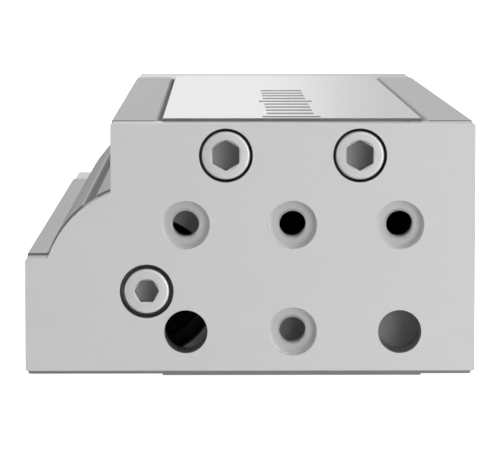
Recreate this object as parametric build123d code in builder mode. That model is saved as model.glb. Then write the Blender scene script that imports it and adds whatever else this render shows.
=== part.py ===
from build123d import *

import os
from math import atan2, cos, degrees, radians, sin, sqrt, tan

# Pneumatic mini slide: a milled housing with a cylinder bore beside a ball-guided slide.
# All sizes are in millimetres. X points right, Y from the yoke plate to the end cap, Z up.
# X = 0 is the middle plane of the slide, Y = 0 the middle of the housing, Z = 0 the mounting pad.

# Travel and guide
stroke = 100.0
cage_length = 80.0
rail_overrun = 2.0
rail_setback = 2.0
running_gap = 0.3
fit_gap = 0.05

# Outline shared by the yoke plate, the housing and the end cap
housing_wall = 8.5
rod_beside_channel = 1.8
rod_height = 16.9
shoulder_reach = 22.7
pad_half_width = 24.5
pad_height = 0.3
outer_edge_break = 0.3

# Housing
housing_top = 48.5
housing_step = 23.4
housing_arc_radius = 19.9
channel_floor = 34.0
pocket_left = -6.0
pocket_ledge = 1.5
pocket_floor = 18.0
pocket_end_wall = 3.0
groove_angle = 123.7
groove_mouth = 2.9
groove_round = 4.2
groove_depth = 4.5

# Yoke plate
plate_thickness = 8.0
plate_top = 48.3
plate_bottom = 1.9
plate_step = 23.0
plate_arc_radius = 19.5
plate_edge_break = 0.2
hole_pitch = 20.0
lower_row = 9.3
tap_bore = 5.0
sleeve_recess = 9.0
sleeve_recess_depth = 2.0
plain_bore = 8.0
head_recess = 10.0

# Slide
slide_top = 48.85
slide_half_width = 24.5
slide_side_gap = 1.0
flange_thickness = 4.65
rib_lift = 0.6
slide_edge_break = 0.3
slide_skin = 1.2
stop_thread_depth = 7.0
scale_start = 4.5
scale_pitch = 11.7
scale_marks = 10
scale_long_every = 5
scale_mark_width = 5.0
scale_mark_depth = 0.12
scale_mark_length = 9.0
scale_long_mark_length = 11.0

# Ball guide
ball_diameter = 3.2
outer_rail_width = 4.0
inner_rail_width = 7.9
rail_spacing = 1.6
groove_clearance = 0.15
cage_thickness = 1.0
cage_height = 5.2
ball_pitch = 5.6
ball_count = 14
cage_hole_clearance = 0.1
stop_pin_diameter = 1.2

# Cylinder
cylinder_bore = 20.0
rod_diameter = 8.0
rod_running_clearance = 0.06
piston_length = 20.0
piston_side_gap = 0.2
piston_end_clearance = 1.0
seal_side_gap = 0.1
cushion_thickness = 2.5
cushion_inner = 11.0
front_recess_diameter = 26.0
front_recess_depth = 10.0
bearing_diameter = 22.0
bearing_seat_length = 22.0
rod_passage = 12.0
circlip_thickness = 1.2
circlip_lead = 1.8
circlip_growth = 1.2
circlip_width = 2.4
circlip_opening = 7.0
rod_spigot = 5.0
bearing_o_ring_cord = 1.8
end_cap_o_ring_outer = 25.8
end_cap_o_ring_cord = 1.8
bush_outer = 10.0
bush_land = 1.0
seal_outer = 14.0
seal_width = 4.0
seal_lip_depth = 2.0
seal_lip_share = 0.33
wiper_outer = 12.0
wiper_width = 3.0
nut_size = 8.0
nut_thickness = 4.0
nut_recess = 11.0
nut_cover = 0.4
piston_land = 2.0
seal_groove_width = 2.4
seal_cord = 2.1
magnet_lead = 5.6
magnet_width = 4.2
magnet_floor = 14.0
magnet_outer = 18.4
wear_lead = 10.8
wear_width = 4.0
wear_floor = 17.6

# End cap
end_cap_thickness = 28.0
end_cap_inset = 0.35
end_cap_bolt_recess = 15.0
end_cap_screw_grip = 14.0
end_cap_bolt_offset = 3.7
end_cap_wall_bolt_height = 42.0
end_cap_low_bolt_height = 6.0
end_cap_left_edge = 5.5
end_cap_right_edge = 6.0

# Air ports
port_height = 12.0
port_bore = 4.2
port_thread_depth = 6.0
air_hole = 3.0
plug_length = 6.0

# Travel stops under the slide
stop_x = 8.0
stop_z = 28.0
stop_screw_diameter = 6.0
stop_screw_length = 21.0
buffer_diameter = 5.6
buffer_thickness = 3.0
stop_block_length = 20.0
stop_block_width = 11.0
stop_block_bottom = 23.4
stop_holder_width = 10.0
stop_holder_thickness = 12.0
stop_holder_top = 33.0
holder_screw_grip = 10.0
lock_nut_thickness = 3.0
lock_nut_size = 10.0

# Base fixing
base_bolt_x = 15.0
base_bolt_y = 60.0
base_bolt_depth = 11.0
base_sleeve_y = 40.0
base_sleeve_depth = 2.1
drill_tip_angle = 118.0
drill_tip_flat = 0.1

# Screws, dowels and their clearances
yoke_screw_head = 9.1
yoke_screw_head_height = 6.0
yoke_screw_shank = 6.0
yoke_screw_key = 5.0
yoke_screw_grip = 14.0
yoke_screw_spread = 12.5
yoke_screw_height = 42.3
rod_screw_head = 8.5
rod_screw_head_height = 5.0
rod_screw_shank = 5.0
rod_screw_key = 4.0
rod_screw_grip = 12.0
dowel_diameter = 3.0
dowel_spread = 4.5
dowel_height = 38.0
dowel_depth = 4.0
m4_head = 7.0
m4_head_height = 4.0
m4_shank = 4.0
m4_key = 3.0
m3_head = 5.5
m3_head_height = 3.0
m3_shank = 3.0
m3_key = 2.5
plug_key = 2.5
stop_key = 3.0
screw_tip_gap = 1.0
head_side_gap = 0.25
head_cover = 0.2
pass_clearance = 0.4
key_share = 0.47
head_chamfer = 0.4
outer_rail_screw_pitch = 30.0
outer_rail_screws = 5
inner_rail_screw_pitch = 24.0
inner_rail_screws = 6

# Stations along Y
housing_length = stroke + cage_length + 2 * rail_overrun + 2 * rail_setback
housing_front = -housing_length / 2
housing_rear = housing_length / 2
plate_back = housing_front - running_gap
plate_front = plate_back - plate_thickness
slide_rear = housing_rear - running_gap
end_cap_rear = housing_rear + end_cap_thickness
outer_rail_front = -cage_length / 2 - stroke / 2 - rail_overrun
outer_rail_rear = cage_length / 2 + rail_overrun
inner_rail_front = -outer_rail_rear
inner_rail_rear = -outer_rail_front
piston_rear = housing_rear - cushion_thickness - piston_end_clearance
piston_front = piston_rear - piston_length
bore_front = piston_front - stroke - piston_end_clearance - cushion_thickness
seat_front = housing_front + front_recess_depth
seat_rear = seat_front + bearing_seat_length
circlip_front = seat_front + circlip_lead
bearing_front = circlip_front + circlip_thickness

# Heights and widths that follow from the sizes above
channel_half_width = slide_half_width + slide_side_gap
block_half_width = channel_half_width + housing_wall
rod_axis = (-(channel_half_width + rod_beside_channel), rod_height)
shoulder_side = rod_axis[0] - shoulder_reach
outer_rail_face = channel_half_width - outer_rail_width
ball_line = outer_rail_face - rail_spacing / 2
inner_rail_face = ball_line - rail_spacing / 2
rib_half_width = inner_rail_face - inner_rail_width
pocket_right = channel_half_width - pocket_ledge
upper_row = lower_row + hole_pitch
flange_bottom = slide_top - flange_thickness
rib_bottom = channel_floor + rib_lift
outer_rail_top = flange_bottom - running_gap
ball_height = (channel_floor + flange_bottom) / 2
raceway_radius = ball_diameter / 2 + groove_clearance
front_port_y = bore_front + cushion_thickness + air_hole / 2
rear_port_y = housing_rear - cushion_thickness - air_hole / 2
buffer_tip = stroke / 2 + stop_block_length / 2 + running_gap
stop_screw_start = buffer_tip + buffer_thickness
holder_start = stop_screw_start + lock_nut_thickness + buffer_thickness
holder_end = holder_start + stop_holder_thickness


def cross_section(y):
    """The plane across the slide at a station along Y, with x and z as its own axes."""
    return Plane.XZ.offset(-y)


def aimed_plane(point, direction):
    """A plane at a point whose normal is the given direction."""
    across = (0, 1, 0) if abs(direction[0]) > 0 else (1, 0, 0)
    return Plane(origin=point, x_dir=across, z_dir=direction)


def block_outline(top, bottom, step, radius, inset=0.0):
    """The shouldered outline, drawn in the active sketch."""
    axis_x, axis_z = rod_axis
    wall = -(block_half_width - inset)
    start = degrees(atan2(sqrt(radius**2 - (wall - axis_x) ** 2), wall - axis_x))
    end = degrees(atan2(step - axis_z, -sqrt(radius**2 - (step - axis_z) ** 2)))
    with BuildLine() as outline:
        shoulder = CenterArc(rod_axis, radius, start, end - start)
        Polyline(
            shoulder @ 1,
            (shoulder_side + inset, step),
            (shoulder_side + inset, bottom),
            (-wall, bottom),
            (-wall, top),
            (wall, top),
            shoulder @ 0,
        )
    make_face(outline.edges())


def bore_along_y(front, rear, diameter, *centres):
    """Cut round holes between two stations along Y at the given x and z centres."""
    with BuildSketch(cross_section(front)) as profile:
        with Locations(*centres):
            Circle(diameter / 2)
    extrude(profile.sketch, amount=front - rear, mode=Mode.SUBTRACT)


def bore_along_x(start, end, diameter, *centres):
    """Cut round holes between two stations along X at the given y and z centres."""
    with BuildSketch(Plane.YZ.offset(start)) as profile:
        with Locations(*centres):
            Circle(diameter / 2)
    extrude(profile.sketch, amount=end - start, mode=Mode.SUBTRACT)


def bore_along_z(bottom, top, diameter, *centres):
    """Cut round holes between two heights at the given x and y centres."""
    with BuildSketch(Plane.XY.offset(bottom)) as profile:
        with Locations(*centres):
            Circle(diameter / 2)
    extrude(profile.sketch, amount=top - bottom, mode=Mode.SUBTRACT)


def tube_along_y(front, rear, outer, inner, mode=Mode.ADD):
    """A ring about the rod axis between two stations along Y."""
    with BuildSketch(cross_section(front)) as profile:
        with Locations(rod_axis):
            Circle(outer / 2)
            Circle(inner / 2, mode=Mode.SUBTRACT)
    extrude(profile.sketch, amount=front - rear, mode=mode)


def round_bar(plane, diameter, length):
    """A round bar that stands on a plane, along its normal."""
    with BuildSketch(plane) as profile:
        Circle(diameter / 2)
    extrude(profile.sketch, amount=length)


def o_ring(y, outer, cord):
    """A ring of round section about the rod axis."""
    origin = (rod_axis[0], y, rod_axis[1])
    with BuildSketch(Plane(origin=origin, x_dir=(1, 0, 0), z_dir=(0, 0, 1))) as profile:
        with Locations(((outer - cord) / 2, 0)):
            Circle(cord / 2)
    revolve(profile.sketch, axis=Axis(origin, (0, 1, 0)))


def cap_screw(seat, head, head_height, shank, length, key, key_turn=0):
    """A socket cap screw on the plane of its head's seat, with its shank along the normal."""
    section = Plane(origin=seat.origin, x_dir=seat.x_dir, z_dir=-seat.y_dir)
    with BuildSketch(section) as profile:
        with BuildLine():
            Polyline(
                (0, -head_height),
                (head / 2 - head_chamfer, -head_height),
                (head / 2, -head_height + head_chamfer),
                (head / 2, 0),
                (shank / 2, 0),
                (shank / 2, length - head_chamfer),
                (shank / 2 - head_chamfer, length),
                (0, length),
                close=True,
            )
        make_face()
    revolve(profile.sketch, axis=Axis(seat.origin, seat.z_dir))
    with BuildSketch(seat.offset(-head_height)) as profile:
        RegularPolygon(key / 2, 6, major_radius=False, rotation=key_turn)
    extrude(profile.sketch, amount=head_height * key_share, mode=Mode.SUBTRACT)


def set_screw(mouth, diameter, length, key):
    """A grub screw that fills a threaded hole from the plane of its mouth."""
    round_bar(mouth, diameter, length)
    with BuildSketch(mouth) as profile:
        RegularPolygon(key / 2, 6, major_radius=False)
    extrude(profile.sketch, amount=length * key_share, mode=Mode.SUBTRACT)


def spaced(middle, pitch, count):
    """Evenly spaced stations about a middle one."""
    return [middle + pitch * (index - (count - 1) / 2) for index in range(count)]


outer_rail_middle = (outer_rail_front + outer_rail_rear) / 2
outer_rail_stations = spaced(outer_rail_middle, outer_rail_screw_pitch, outer_rail_screws)
inner_rail_middle = (inner_rail_front + inner_rail_rear) / 2
inner_rail_stations = spaced(inner_rail_middle, inner_rail_screw_pitch, inner_rail_screws)
ball_stations = spaced(0.0, ball_pitch, ball_count)
holder_screw_pitch = m3_head + screw_tip_gap + 2 * head_side_gap
holder_screw_stations = spaced((holder_start + holder_end) / 2, holder_screw_pitch, 2)
stop_block_middle = stroke / 2
stop_block_screw_stations = spaced(stop_block_middle, stop_block_length / 2, 2)
end_cap_bolts = [
    (-(channel_half_width + end_cap_bolt_offset), end_cap_wall_bolt_height),
    (channel_half_width + end_cap_bolt_offset, end_cap_wall_bolt_height),
    (shoulder_side + end_cap_left_edge, end_cap_low_bolt_height),
    (block_half_width - end_cap_right_edge, end_cap_low_bolt_height),
]
yoke_screw_centres = [(-yoke_screw_spread, yoke_screw_height), (yoke_screw_spread, yoke_screw_height)]
dowel_centres = [(-dowel_spread, dowel_height), (dowel_spread, dowel_height)]
side_signs = [-1, 1]

os.makedirs("parts", exist_ok=True)


# Housing: the shouldered block with its guide channel, stop pocket and cylinder bore
rail_screw_recess = m3_head_height + running_gap
rail_screw_tip = outer_rail_face + (raceway_radius - rail_spacing / 2) + running_gap
holder_screw_seat = pocket_floor - holder_screw_grip
holder_screw_tip = stop_z - stop_screw_diameter / 2 - 2 * screw_tip_gap
with BuildPart() as housing:
    with BuildSketch(cross_section(housing_rear)):
        block_outline(housing_top, pad_height, housing_step, housing_arc_radius)
    extrude(amount=housing_length)
    long_edges = housing.edges().filter_by(Axis.Y).group_by(Axis.Z)[-1]
    chamfer(long_edges, outer_edge_break)
    with BuildSketch(cross_section(housing_rear)):
        Rectangle(2 * pad_half_width, 2 * pad_height, align=(Align.CENTER, Align.MIN))
    extrude(amount=housing_length)
    with BuildSketch(cross_section(housing_rear)):
        with Locations((0, channel_floor)):
            Rectangle(2 * channel_half_width, housing_top, align=(Align.CENTER, Align.MIN))
    extrude(amount=housing_length, mode=Mode.SUBTRACT)
    with BuildSketch(cross_section(housing_rear - pocket_end_wall)):
        with Locations(((pocket_left + pocket_right) / 2, pocket_floor)):
            Rectangle(pocket_right - pocket_left, housing_top, align=(Align.CENTER, Align.MIN))
    extrude(amount=housing_length, mode=Mode.SUBTRACT)
    # Sensor groove with a narrow mouth over a round bottom
    with BuildSketch(cross_section(housing_rear)):
        round_at = housing_arc_radius - groove_depth + groove_round / 2
        mouth_at = housing_arc_radius
        turn = radians(groove_angle)
        with Locations((rod_axis[0] + round_at * cos(turn), rod_axis[1] + round_at * sin(turn))):
            Circle(groove_round / 2)
        with Locations((rod_axis[0] + mouth_at * cos(turn), rod_axis[1] + mouth_at * sin(turn))):
            Rectangle(2 * (mouth_at - round_at), groove_mouth, rotation=groove_angle)
    extrude(amount=housing_length, mode=Mode.SUBTRACT)
    # Cylinder bore, rod passage, bearing seat and front recess on one axis
    bore_along_y(bore_front, housing_rear, cylinder_bore, rod_axis)
    bore_along_y(seat_rear, bore_front, rod_passage, rod_axis)
    bore_along_y(seat_front, seat_rear, bearing_diameter, rod_axis)
    bore_along_y(housing_front, seat_front, front_recess_diameter, rod_axis)
    circlip_groove = bearing_diameter + circlip_growth
    bore_along_y(circlip_front, bearing_front, circlip_groove, rod_axis)
    # Air ports in the shoulder's side
    port_centres = [(front_port_y, port_height), (rear_port_y, port_height)]
    bore_along_x(shoulder_side, shoulder_side + port_thread_depth, port_bore, *port_centres)
    bore_along_x(shoulder_side, rod_axis[0], air_hole, *port_centres)
    # Screw holes for the outer rails, the end cap and the stop holders
    for side in side_signs:
        rail_centres = [(y, ball_height) for y in outer_rail_stations]
        outer_face = side * block_half_width
        head_seat = side * (block_half_width - rail_screw_recess)
        bore_along_x(outer_face, side * channel_half_width, m3_shank + 2 * fit_gap, *rail_centres)
        bore_along_x(outer_face, head_seat, m3_head + 2 * head_side_gap, *rail_centres)
    bore_along_y(housing_rear - end_cap_screw_grip, housing_rear, m4_shank + 2 * fit_gap, *end_cap_bolts)
    for side in side_signs:
        holder_centres = [(stop_x, side * y) for y in holder_screw_stations]
        bore_along_z(0, pocket_floor, m3_shank + 2 * fit_gap, *holder_centres)
        bore_along_z(0, holder_screw_seat, m3_head + 2 * head_side_gap, *holder_centres)
    # Access to the rear stop screw through the pocket's end wall
    bore_along_y(housing_rear - pocket_end_wall, housing_rear, tap_bore, (stop_x, stop_z))
    # Base threads and centring recesses in the pad
    base_corners = [(x * base_bolt_x, y * base_bolt_y) for x in side_signs for y in side_signs]
    bore_along_z(0, base_bolt_depth, tap_bore, *base_corners)
    with Locations(*[(x, y, base_bolt_depth) for x, y in base_corners]):
        Cone(
            tap_bore / 2,
            drill_tip_flat,
            tap_bore / 2 / tan(radians(drill_tip_angle / 2)),
            align=(Align.CENTER, Align.CENTER, Align.MIN),
            mode=Mode.SUBTRACT,
        )
    bore_along_z(0, base_sleeve_depth, sleeve_recess, (0, -base_sleeve_y), (0, base_sleeve_y))
housing.part.label = "housing"
export_step(housing.part, "parts/housing.step")


# End cap: closes the cylinder and covers the slide's rear end
end_cap_seat = end_cap_rear - end_cap_bolt_recess
with BuildPart() as end_cap:
    with BuildSketch(cross_section(end_cap_rear)):
        block_outline(
            housing_top - end_cap_inset,
            pad_height + end_cap_inset,
            housing_step - end_cap_inset,
            housing_arc_radius - end_cap_inset,
            end_cap_inset,
        )
    extrude(amount=end_cap_thickness)
    chamfer(end_cap.faces().sort_by(Axis.Y)[-1].edges(), 2 * outer_edge_break)
    chamfer(end_cap.faces().sort_by(Axis.Y)[0].edges(), outer_edge_break)
    bore_along_y(housing_rear, end_cap_rear, m4_shank + 2 * fit_gap, *end_cap_bolts)
    bore_along_y(end_cap_seat, end_cap_rear, m4_head + head_side_gap, *end_cap_bolts)
    tube_along_y(
        housing_rear,
        housing_rear + end_cap_o_ring_cord + fit_gap,
        end_cap_o_ring_outer + 2 * fit_gap,
        end_cap_o_ring_outer - 2 * end_cap_o_ring_cord - 2 * fit_gap,
        mode=Mode.SUBTRACT,
    )
    bore_along_y(housing_rear, end_cap_rear, air_hole, rod_axis)
    bore_along_y(end_cap_rear - plug_length, end_cap_rear, port_bore, rod_axis)
    bore_along_y(housing_rear, end_cap_rear, tap_bore, (stop_x, stop_z))
end_cap.part.label = "end_cap"
export_step(end_cap.part, "parts/end_cap.step")

with BuildPart() as end_cap_screws:
    for x, z in end_cap_bolts:
        seat = aimed_plane((x, end_cap_seat, z), (0, -1, 0))
        grip = end_cap_seat - housing_rear + end_cap_screw_grip - screw_tip_gap
        cap_screw(seat, m4_head, m4_head_height, m4_shank, grip, m4_key)
end_cap_screws.part.label = "end_cap_screws"
export_step(end_cap_screws.part, "parts/end_cap_screws.step")

with BuildPart() as end_cap_o_ring:
    o_ring(housing_rear + end_cap_o_ring_cord / 2 + fit_gap / 2, end_cap_o_ring_outer, end_cap_o_ring_cord)
end_cap_o_ring.part.label = "end_cap_o_ring"
export_step(end_cap_o_ring.part, "parts/end_cap_o_ring.step")

# Plugs of the rear air port and of the access to the rear stop
with BuildPart() as end_cap_plugs:
    port_mouth = aimed_plane((rod_axis[0], end_cap_rear - running_gap, rod_axis[1]), (0, -1, 0))
    set_screw(port_mouth, port_bore - 2 * fit_gap, plug_length - 2 * running_gap, plug_key)
    access_mouth = aimed_plane((stop_x, end_cap_rear - running_gap, stop_z), (0, -1, 0))
    set_screw(access_mouth, tap_bore - 2 * fit_gap, plug_length, plug_key)
end_cap_plugs.part.label = "end_cap_plugs"
export_step(end_cap_plugs.part, "parts/end_cap_plugs.step")


# Bearing cap: the front end of the cylinder, with the rod's bush, seal and wiper in it
bearing_ring_y = (bearing_front + seat_rear) / 2
bush_front = bearing_front + wiper_width + bush_land
bush_rear = seat_rear - seal_width - bush_land
with BuildPart() as bearing_cap:
    tube_along_y(bearing_front, seat_rear, bearing_diameter - 2 * fit_gap, rod_diameter + bush_land)
    bore_along_y(bush_front, bush_rear, bush_outer, rod_axis)
    bore_along_y(bearing_front, bearing_front + wiper_width, wiper_outer, rod_axis)
    bore_along_y(seat_rear - seal_width, seat_rear, seal_outer, rod_axis)
    tube_along_y(
        bearing_ring_y - bearing_o_ring_cord / 2 - head_side_gap,
        bearing_ring_y + bearing_o_ring_cord / 2 + head_side_gap,
        bearing_diameter + bush_land,
        bearing_diameter - 2 * bearing_o_ring_cord - 2 * fit_gap,
        mode=Mode.SUBTRACT,
    )
bearing_cap.part.label = "bearing_cap"
export_step(bearing_cap.part, "parts/bearing_cap.step")

rod_bore = rod_diameter + 2 * rod_running_clearance
with BuildPart() as rod_bush:
    tube_along_y(bush_front, bush_rear, bush_outer - 2 * fit_gap, rod_bore)
rod_bush.part.label = "rod_bush"
export_step(rod_bush.part, "parts/rod_bush.step")

with BuildPart() as rod_seal:
    seal_front = seat_rear - seal_width + fit_gap
    lip_width = seal_lip_share * (seal_outer - rod_bore) / 2
    tube_along_y(seal_front, seat_rear - fit_gap, seal_outer - 2 * fit_gap, rod_bore)
    tube_along_y(
        seat_rear - seal_lip_depth,
        seat_rear,
        seal_outer - 2 * lip_width,
        rod_bore + 2 * lip_width,
        mode=Mode.SUBTRACT,
    )
rod_seal.part.label = "rod_seal"
export_step(rod_seal.part, "parts/rod_seal.step")

with BuildPart() as rod_wiper:
    wiper_rear = bearing_front + wiper_width - fit_gap
    tube_along_y(bearing_front + fit_gap, wiper_rear, wiper_outer - 2 * fit_gap, rod_bore)
rod_wiper.part.label = "rod_wiper"
export_step(rod_wiper.part, "parts/rod_wiper.step")

with BuildPart() as bearing_o_ring:
    o_ring(bearing_ring_y, bearing_diameter - 2 * fit_gap, bearing_o_ring_cord)
bearing_o_ring.part.label = "bearing_o_ring"
export_step(bearing_o_ring.part, "parts/bearing_o_ring.step")

with BuildPart() as retaining_ring:
    ring_outer = bearing_diameter + circlip_growth - 2 * fit_gap
    ring_inner = bearing_diameter - 2 * circlip_width
    tube_along_y(circlip_front + fit_gap, bearing_front - fit_gap, ring_outer, ring_inner)
    with BuildSketch(cross_section(circlip_front)):
        with Locations((rod_axis[0] + bearing_diameter / 2, rod_axis[1])):
            Rectangle(bearing_diameter / 2, circlip_opening)
    extrude(amount=-circlip_thickness, mode=Mode.SUBTRACT)
retaining_ring.part.label = "retaining_ring"
export_step(retaining_ring.part, "parts/retaining_ring.step")

with BuildPart() as front_cushion:
    tube_along_y(bore_front, bore_front + cushion_thickness, cylinder_bore - 2 * fit_gap, cushion_inner)
front_cushion.part.label = "front_cushion"
export_step(front_cushion.part, "parts/front_cushion.step")

with BuildPart() as rear_cushion:
    tube_along_y(housing_rear - cushion_thickness, housing_rear, cylinder_bore - 2 * fit_gap, cushion_inner)
rear_cushion.part.label = "rear_cushion"
export_step(rear_cushion.part, "parts/rear_cushion.step")


# Outer rails: hardened strips screwed to the channel walls
with BuildPart() as outer_rail_right:
    with BuildSketch(cross_section(outer_rail_rear)):
        with Locations(((outer_rail_face + channel_half_width) / 2, (channel_floor + outer_rail_top) / 2)):
            Rectangle(channel_half_width - outer_rail_face, outer_rail_top - channel_floor)
        with Locations((ball_line, ball_height)):
            Circle(raceway_radius, mode=Mode.SUBTRACT)
    extrude(amount=outer_rail_rear - outer_rail_front)
    rail_centres = [(y, ball_height) for y in outer_rail_stations]
    bore_along_x(channel_half_width, rail_screw_tip, m3_shank + 2 * fit_gap, *rail_centres)
    pin_stations = [outer_rail_front + rail_overrun / 2, outer_rail_rear - rail_overrun / 2]
    pin_centres = [(y, ball_height) for y in pin_stations]
    bore_along_x(outer_rail_face, channel_half_width, stop_pin_diameter + 2 * fit_gap, *pin_centres)
outer_rail_right.part.label = "outer_rail_right"
export_step(outer_rail_right.part, "parts/outer_rail_right.step")

with BuildPart() as outer_rail_left:
    mirror(outer_rail_right.part, about=Plane.YZ)
outer_rail_left.part.label = "outer_rail_left"
export_step(outer_rail_left.part, "parts/outer_rail_left.step")

with BuildPart() as outer_rail_screws_right:
    for y in outer_rail_stations:
        seat_x = block_half_width - rail_screw_recess
        seat = aimed_plane((seat_x, y, ball_height), (-1, 0, 0))
        cap_screw(seat, m3_head, m3_head_height, m3_shank, seat_x - rail_screw_tip - fit_gap, m3_key)
outer_rail_screws_right.part.label = "outer_rail_screws_right"
export_step(outer_rail_screws_right.part, "parts/outer_rail_screws_right.step")

with BuildPart() as outer_rail_screws_left:
    mirror(outer_rail_screws_right.part, about=Plane.YZ)
outer_rail_screws_left.part.label = "outer_rail_screws_left"
export_step(outer_rail_screws_left.part, "parts/outer_rail_screws_left.step")

# Pins at the rail ends that keep the ball cages in
with BuildPart() as cage_stop_pins:
    for side in side_signs:
        for y in pin_stations:
            pin_root = (side * (channel_half_width - fit_gap), y, ball_height)
            pin_length = channel_half_width - fit_gap - (inner_rail_face + running_gap)
            round_bar(aimed_plane(pin_root, (-side, 0, 0)), stop_pin_diameter, pin_length)
cage_stop_pins.part.label = "cage_stop_pins"
export_step(cage_stop_pins.part, "parts/cage_stop_pins.step")


def add_cage(side):
    """A flat ball retainer with a row of round windows, in the active part."""
    with BuildSketch(Plane.YZ.offset(side * ball_line)) as profile:
        with Locations((0, ball_height)):
            Rectangle(cage_length, cage_height)
        with Locations(*[(y, ball_height) for y in ball_stations]):
            Circle(ball_diameter / 2 + cage_hole_clearance, mode=Mode.SUBTRACT)
    extrude(profile.sketch, amount=cage_thickness / 2, both=True)


def add_balls(side):
    """One row of balls, in the active part."""
    with Locations(*[(side * ball_line, y, ball_height) for y in ball_stations]):
        Sphere(ball_diameter / 2)


with BuildPart() as ball_cage_left:
    add_cage(-1)
ball_cage_left.part.label = "ball_cage_left"
export_step(ball_cage_left.part, "parts/ball_cage_left.step")

with BuildPart() as ball_cage_right:
    add_cage(1)
ball_cage_right.part.label = "ball_cage_right"
export_step(ball_cage_right.part, "parts/ball_cage_right.step")

with BuildPart() as balls_left:
    add_balls(-1)
balls_left.part.label = "balls_left"
export_step(balls_left.part, "parts/balls_left.step")

with BuildPart() as balls_right:
    add_balls(1)
balls_right.part.label = "balls_right"
export_step(balls_right.part, "parts/balls_right.step")


# Slide: a flat top over a solid front end and a narrower rib between the inner rails
front_block_half_width = inner_rail_face - running_gap
front_block_rear = inner_rail_front - rail_overrun
stop_screw_hole = stop_screw_diameter + 2 * rod_running_clearance
with BuildPart() as slide:
    with BuildSketch(cross_section(slide_rear)):
        with Locations((0, (flange_bottom + slide_top) / 2)):
            Rectangle(2 * slide_half_width, flange_thickness)
        with Locations((0, (rib_bottom + flange_bottom) / 2)):
            Rectangle(2 * rib_half_width, flange_bottom - rib_bottom)
    extrude(amount=slide_rear - plate_back)
    with BuildSketch(cross_section(front_block_rear)):
        with Locations((0, (rib_bottom + flange_bottom) / 2)):
            Rectangle(2 * front_block_half_width, flange_bottom - rib_bottom)
    extrude(amount=front_block_rear - plate_back)
    chamfer(slide.edges().filter_by(Axis.Y).group_by(Axis.Z)[-1], slide_edge_break)
    yoke_thread_end = plate_back + yoke_screw_grip
    dowel_end = plate_back + dowel_depth + 2 * screw_tip_gap
    bore_along_y(plate_back, yoke_thread_end, yoke_screw_shank + 2 * fit_gap, *yoke_screw_centres)
    bore_along_y(plate_back, dowel_end, dowel_diameter + 2 * fit_gap, *dowel_centres)
    for side in side_signs:
        rail_screw_x = side * (rib_half_width + m3_head / 2 + 2 * head_side_gap)
        rail_screw_centres = [(rail_screw_x, y) for y in inner_rail_stations]
        bore_along_z(flange_bottom, slide_top - slide_skin, m3_shank + 2 * fit_gap, *rail_screw_centres)
    stop_screw_centres = [(stop_x, y) for y in stop_block_screw_stations]
    bore_along_z(rib_bottom, rib_bottom + stop_thread_depth, m4_shank + 2 * fit_gap, *stop_screw_centres)
    # Travel scale cut into the top, every fifth mark longer
    for index in range(scale_marks):
        mark_length = scale_long_mark_length if index % scale_long_every == 0 else scale_mark_length
        with BuildSketch(Plane.XY.offset(slide_top)):
            with Locations((0, plate_back + scale_start + index * scale_pitch)):
                Rectangle(mark_length, scale_mark_width)
        extrude(amount=-scale_mark_depth, mode=Mode.SUBTRACT)
slide.part.label = "slide"
export_step(slide.part, "parts/slide.step")

with BuildPart() as inner_rail_right:
    with BuildSketch(cross_section(inner_rail_rear)):
        with Locations(((rib_half_width + inner_rail_face) / 2, (rib_bottom + flange_bottom) / 2)):
            Rectangle(inner_rail_face - rib_half_width, flange_bottom - rib_bottom)
        with Locations((ball_line, ball_height)):
            Circle(raceway_radius, mode=Mode.SUBTRACT)
    extrude(amount=inner_rail_rear - inner_rail_front)
    rail_screw_x = rib_half_width + m3_head / 2 + 2 * head_side_gap
    rail_screw_centres = [(rail_screw_x, y) for y in inner_rail_stations]
    bore_along_z(rib_bottom, flange_bottom, m3_shank + 2 * fit_gap, *rail_screw_centres)
    rail_screw_seat = rib_bottom + m3_head_height + 2 * fit_gap
    bore_along_z(rib_bottom, rail_screw_seat, m3_head + 2 * fit_gap, *rail_screw_centres)
inner_rail_right.part.label = "inner_rail_right"
export_step(inner_rail_right.part, "parts/inner_rail_right.step")

with BuildPart() as inner_rail_left:
    mirror(inner_rail_right.part, about=Plane.YZ)
inner_rail_left.part.label = "inner_rail_left"
export_step(inner_rail_left.part, "parts/inner_rail_left.step")

with BuildPart() as inner_rail_screws_right:
    for y in inner_rail_stations:
        seat = aimed_plane((rail_screw_x, y, rail_screw_seat), (0, 0, 1))
        grip = slide_top - slide_skin - running_gap - rail_screw_seat
        cap_screw(seat, m3_head, m3_head_height, m3_shank, grip, m3_key)
inner_rail_screws_right.part.label = "inner_rail_screws_right"
export_step(inner_rail_screws_right.part, "parts/inner_rail_screws_right.step")

with BuildPart() as inner_rail_screws_left:
    mirror(inner_rail_screws_right.part, about=Plane.YZ)
inner_rail_screws_left.part.label = "inner_rail_screws_left"
export_step(inner_rail_screws_left.part, "parts/inner_rail_screws_left.step")


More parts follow.
